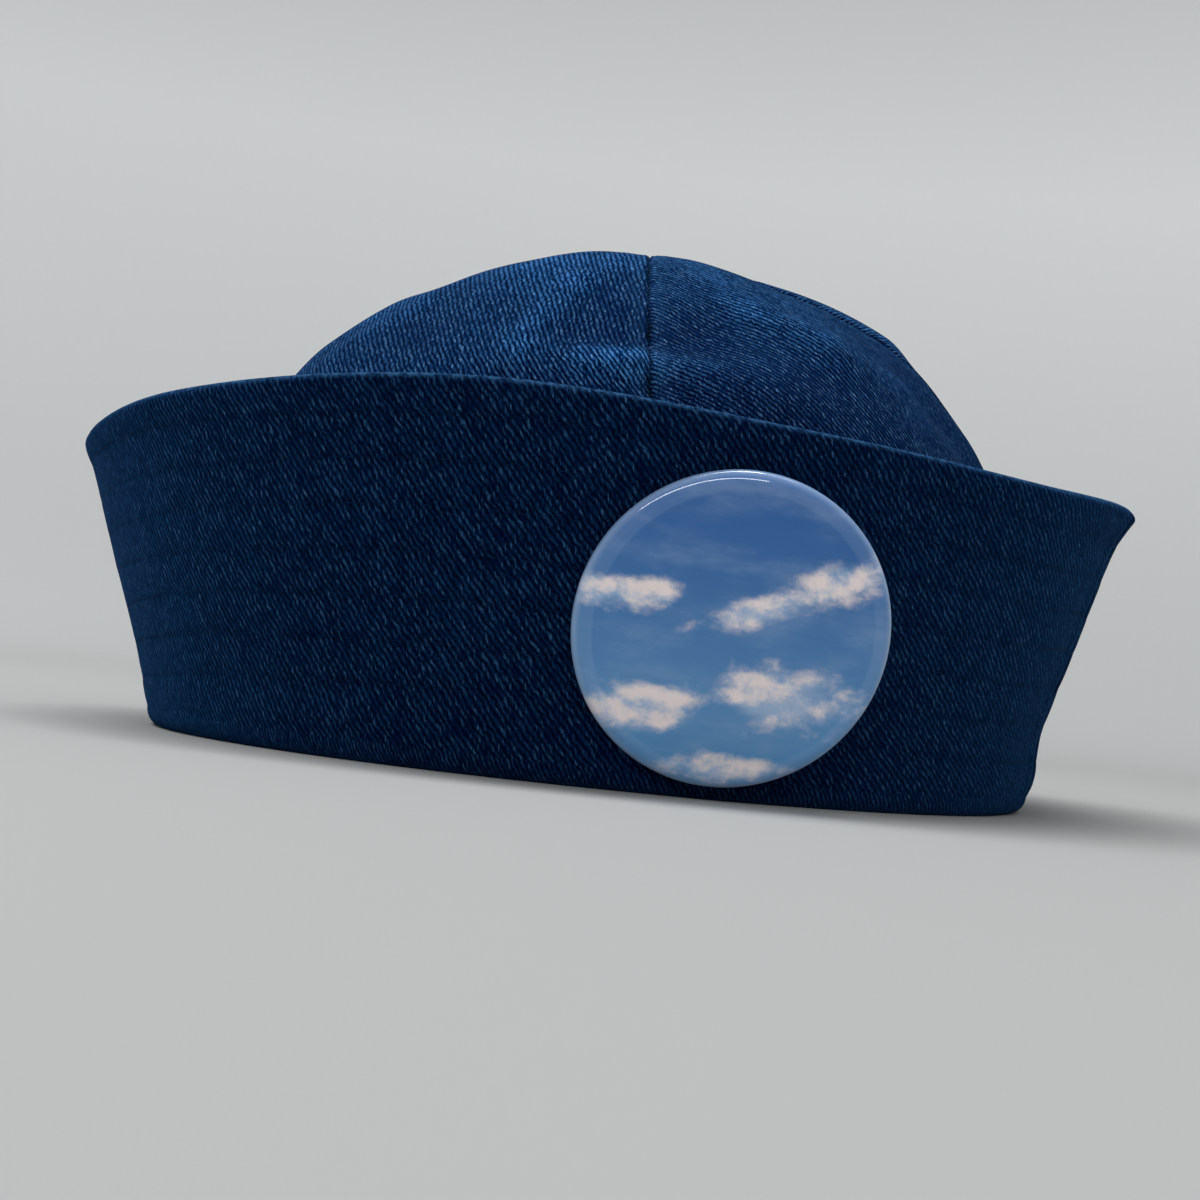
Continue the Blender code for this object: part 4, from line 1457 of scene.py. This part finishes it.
class CAP_OT_crown(bpy.types.Operator):
    """Build the four gores of the crown, creased and puckered along their seams"""

    bl_idname = "cap.crown"
    bl_label = "Crown"

    def execute(self, context):
        settings = context.scene.sailor_cap
        deselect()
        material = denim_material("crown_denim", settings.crown_denim)
        steps = gore_columns()
        for gore in GORES:
            azimuth = gore.start + steps
            smooth = crown_face(azimuth)
            normal = crown_normals(smooth)
            relief, crease, beside, folds = crown_relief(azimuth, smooth, settings.crown)
            outer = smooth + normal * (relief - crease)[..., None]
            inner = smooth + normal * (relief - CROWN_WALL)[..., None]
            flat = gore_grain(steps, smooth, gore.off_grain, gore.pull)
            corners, faces, grain = shell(outer, inner, flat)
            # The tuck mask is painted shade along the seams, and the wash mask holds wear with painted
            # light and shade
            masks = {
                "worn": SEAM_RUB * ease(0.0006, 0.0016, beside) * ease(0.0045, 0.002, beside),
                "tuck": SEAM_SHADE * np.exp(-((beside / SEAM_SHADE_REACH) ** 2)),
                "wash": crown_wash_and_painted_light(gore, azimuth, smooth, folds),
            }
            # The inner face has none of them
            masks = {name: np.concatenate([values, values * 0]) for name, values in masks.items()}
            mesh = cloth_mesh(gore.node.replace("crown_gore", "gore_cloth"), corners, faces, grain, masks)
            finish_piece(link_piece(mesh), material, [gore.node])
        return {"FINISHED"}


# ---------------------------------------------------------------- badge


def badge_frame():
    """Where the badge's back lies: clear of every point of the brim behind it."""
    right, up, out = badge_axes()
    seat = badge_seat()
    azimuth = BADGE_AZIMUTH + np.arange(-20, 21)[:, None]
    off = brim_point(azimuth, np.arange(1, 80)[None, :] / 80) - seat
    across = np.hypot(off @ right, off @ up)
    proud = np.max(np.where(across < BADGE_RADIUS, off @ out, 0))
    made = Matrix((right, up, out)).transposed().to_4x4()
    made.translation = Vector(seat + out * (proud + BADGE_STAND))
    return made


def badge_profile():
    """Radius and height of the badge's shell: over its dome, round its rim, and back inside."""
    drop = BADGE_DEPTH - BADGE_EDGE_DEPTH
    face = [(FACE_RADIUS * share, BADGE_DEPTH - drop * share**2) for share in np.linspace(0, 1, 15)[1:]]
    roll, fall = BADGE_RADIUS - FACE_RADIUS, BADGE_EDGE_DEPTH - ROLL_HEIGHT
    edge = [
        (FACE_RADIUS + roll * math.sin(turn), ROLL_HEIGHT + fall * math.cos(turn))
        for turn in np.radians(np.linspace(0, 90, 13)[1:])
    ]
    tuck = [
        (BADGE_RADIUS - TUCK_REACH * (1 - math.cos(turn)), ROLL_HEIGHT * (1 - math.sin(turn)))
        for turn in np.radians(np.linspace(0, 90, 6)[1:])
    ]
    inside = [
        (LIP_RADIUS, 0),
        (LIP_RADIUS, BADGE_WALL),
        (BADGE_RADIUS - BADGE_WALL - TUCK_REACH, BADGE_WALL),
        (BADGE_RADIUS - BADGE_WALL, ROLL_HEIGHT),
        (FACE_RADIUS, BADGE_EDGE_DEPTH - BADGE_WALL),
        (FACE_RADIUS * 0.05, BADGE_DEPTH - BADGE_WALL),
    ]
    return face + edge + tuck + inside


class CAP_OT_badge(bpy.types.Operator):
    """Build the badge: its domed face under gloss film, with its steel back and pin"""

    bl_idname = "cap.badge"
    bl_label = "Badge"

    def execute(self, context):
        badge = turn_shape("badge_face", badge_profile(), 128)
        bpy.ops.mesh.edge_face_add()
        bpy.ops.mesh.select_all(action="SELECT")
        bpy.ops.mesh.normals_make_consistent(inside=False)
        bpy.ops.object.mode_set(mode="OBJECT")
        mesh = badge.data
        layer = mesh.uv_layers.new(name="print")
        for loop in mesh.loops:
            corner = mesh.vertices[loop.vertex_index].co
            layer.data[loop.index].uv = (corner.x / BADGE_RADIUS, corner.y / BADGE_RADIUS)
        for extra in [other for other in mesh.uv_layers if other.name != "print"]:
            mesh.uv_layers.remove(extra)
        mesh.shade_smooth()
        badge.matrix_world = badge_frame()
        bpy.ops.object.transform_apply(location=True, rotation=True, scale=True)
        finish_piece(badge, film_material(context.scene.sailor_cap.badge), ["badge_shell"])
        steel = steel_material()
        for node in ("badge_back", "badge_pin"):
            set_material(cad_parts[node], steel)
        return {"FINISHED"}


# ---------------------------------------------------------------- stage

LIGHT_TARGET = (0, 0, 0.05)
# Name, place, width and height, and power of each soft light
LIGHTS = (
    ("key_light", (-0.36, -0.34, 1.75), (0.5, 2.2), 40.0),
    ("top_light", (0.38, 0.34, 1.8), (0.4, 0.9), 3.0),
    ("front_light", (0.95, -1.05, 0.83), (1.5, 0.13), 6.6),
)
SKY_LIGHT = (0.97, 0.99, 1.0, 1)
SKY_STRENGTH = 0.34
# The camera's place, and its right, up and back directions
CAMERA_PLACE = (0.30756, -0.32488, 0.02025)
CAMERA_AXES = (
    (0.71999, 0.68582, 0.10610),
    (-0.04904, -0.10222, 0.99355),
    (0.69224, -0.72056, -0.03997),
)


def area_light(name, place, size, power):
    bpy.ops.object.light_add(type="AREA", location=place)
    lamp = bpy.context.object
    lamp.name = name
    lamp.rotation_euler = (Vector(LIGHT_TARGET) - Vector(place)).to_track_quat("-Z", "Y").to_euler()
    lamp.data.shape = "RECTANGLE"
    lamp.data.size, lamp.data.size_y = size
    lamp.data.energy = power
    lamp.visible_camera = False


def backdrop_material(settings):
    """A matt pale sweep that turns lighter with its height."""
    made, w, shader = new_material("pale_backdrop")
    place = w.add("ShaderNodeTexCoord").outputs["Object"]
    height = w.add("ShaderNodeSeparateXYZ", {0: place}).outputs[2]
    height = w.plus(height, w.times(w.noise(place, 1.5), 0.04))
    far = w.rise(w.vector("LENGTH", {0: place})["Value"], 0.45, 1.5)
    low = w.blend(far, opaque(settings.floor), opaque(settings.backdrop))
    finish = {
        "Base Color": w.blend(w.times(height, 1.25), low, opaque(settings.backdrop_top)),
        "Roughness": 0.9,
        "Specular IOR Level": 0.1,
    }
    w.fill(shader, finish)
    return made


class CAP_OT_stage(bpy.types.Operator):
    """Set the pale floor and backdrop, the soft lights and the camera"""

    bl_idname = "cap.stage"
    bl_label = "Stage"

    def execute(self, context):
        settings = context.scene.sailor_cap.stage
        bend, reach = settings.bend, settings.floor_reach
        turns = np.radians(np.arange(4, 65, 4))
        curve = [(reach + bend * math.sin(turn), bend * (1 - math.cos(turn))) for turn in turns]
        curve.append((curve[-1][0] + 0.55, curve[-1][1] + 1.1))
        floor = turn_shape("floor_and_backdrop", [(reach, 0.0), *curve], 96)
        bpy.ops.object.mode_set(mode="OBJECT")
        floor.data.shade_smooth()
        set_material(floor, backdrop_material(settings))
        for light in LIGHTS:
            area_light(*light)
        world = bpy.data.worlds.new("studio")
        world.use_nodes = True
        world.node_tree.nodes["Background"].inputs["Color"].default_value = SKY_LIGHT
        world.node_tree.nodes["Background"].inputs["Strength"].default_value = SKY_STRENGTH
        context.scene.world = world
        bpy.ops.object.camera_add(location=CAMERA_PLACE)
        camera = context.object
        camera.name = "photo_camera"
        place = Matrix(CAMERA_AXES).transposed().to_4x4()
        place.translation = CAMERA_PLACE
        camera.matrix_world = place
        camera.data.sensor_width = 36.0
        camera.data.lens = settings.lens
        camera.data.clip_start = 0.01
        camera.data.dof.use_dof = False
        context.scene.camera = camera
        context.scene.view_settings.view_transform = "Standard"
        return {"FINISHED"}


class CAP_PT_pieces(bpy.types.Panel):
    """Lists the cap's pieces and their settings"""

    bl_idname = "CAP_PT_pieces"
    bl_label = "Sailor Cap"
    bl_space_type = "VIEW_3D"
    bl_region_type = "UI"
    bl_category = "Sailor Cap"

    def draw(self, context):
        settings = context.scene.sailor_cap
        for operator, groups in STEPS:
            box = self.layout.box()
            box.operator(operator.bl_idname)
            for name in groups:
                group = getattr(settings, name)
                for prop in group.bl_rna.properties:
                    if prop.identifier not in {"rna_type", "name"}:
                        box.prop(group, prop.identifier)


STEPS = (
    (CAP_OT_stage, ("stage",)),
    (CAP_OT_brim, ("brim", "brim_denim")),
    (CAP_OT_stitching, ()),
    (CAP_OT_crown, ("crown", "crown_denim")),
    (CAP_OT_badge, ("badge",)),
)
CLASSES = (
    DenimSettings,
    BrimSettings,
    CrownSettings,
    BadgeSettings,
    StageSettings,
    CapSettings,
    *(step[0] for step in STEPS),
    CAP_PT_pieces,
)


def register():
    for kind in CLASSES:
        bpy.utils.register_class(kind)
    bpy.types.Scene.sailor_cap = bpy.props.PointerProperty(type=CapSettings)


def unregister():
    del bpy.types.Scene.sailor_cap
    for kind in reversed(CLASSES):
        bpy.utils.unregister_class(kind)


def set_crown_denim(denim):
    """The crown is washed paler than the brim."""
    denim.dye = (0.0001, 0.009, 0.048)
    denim.faded = (0.045, 0.170, 0.41)
    denim.fleck = (0.15, 0.29, 0.49)
    denim.weft = (0.002, 0.018, 0.065)
    denim.rubbed_and_highlight = (0.03, 0.10, 0.22)
    denim.fading = 0.295
    denim.flecks = 0.46
    denim.weft_show = 0.3
    denim.depth = 1.0
    denim.sheen = 0.06
    denim.mottle = 1.5
    denim.blotches = 2.8


def main():
    register()
    set_crown_denim(bpy.context.scene.sailor_cap.crown_denim)
    for operator, _groups in STEPS:
        group, name = operator.bl_idname.split(".")
        getattr(getattr(bpy.ops, group), name)()


if __name__ == "__main__":
    main()
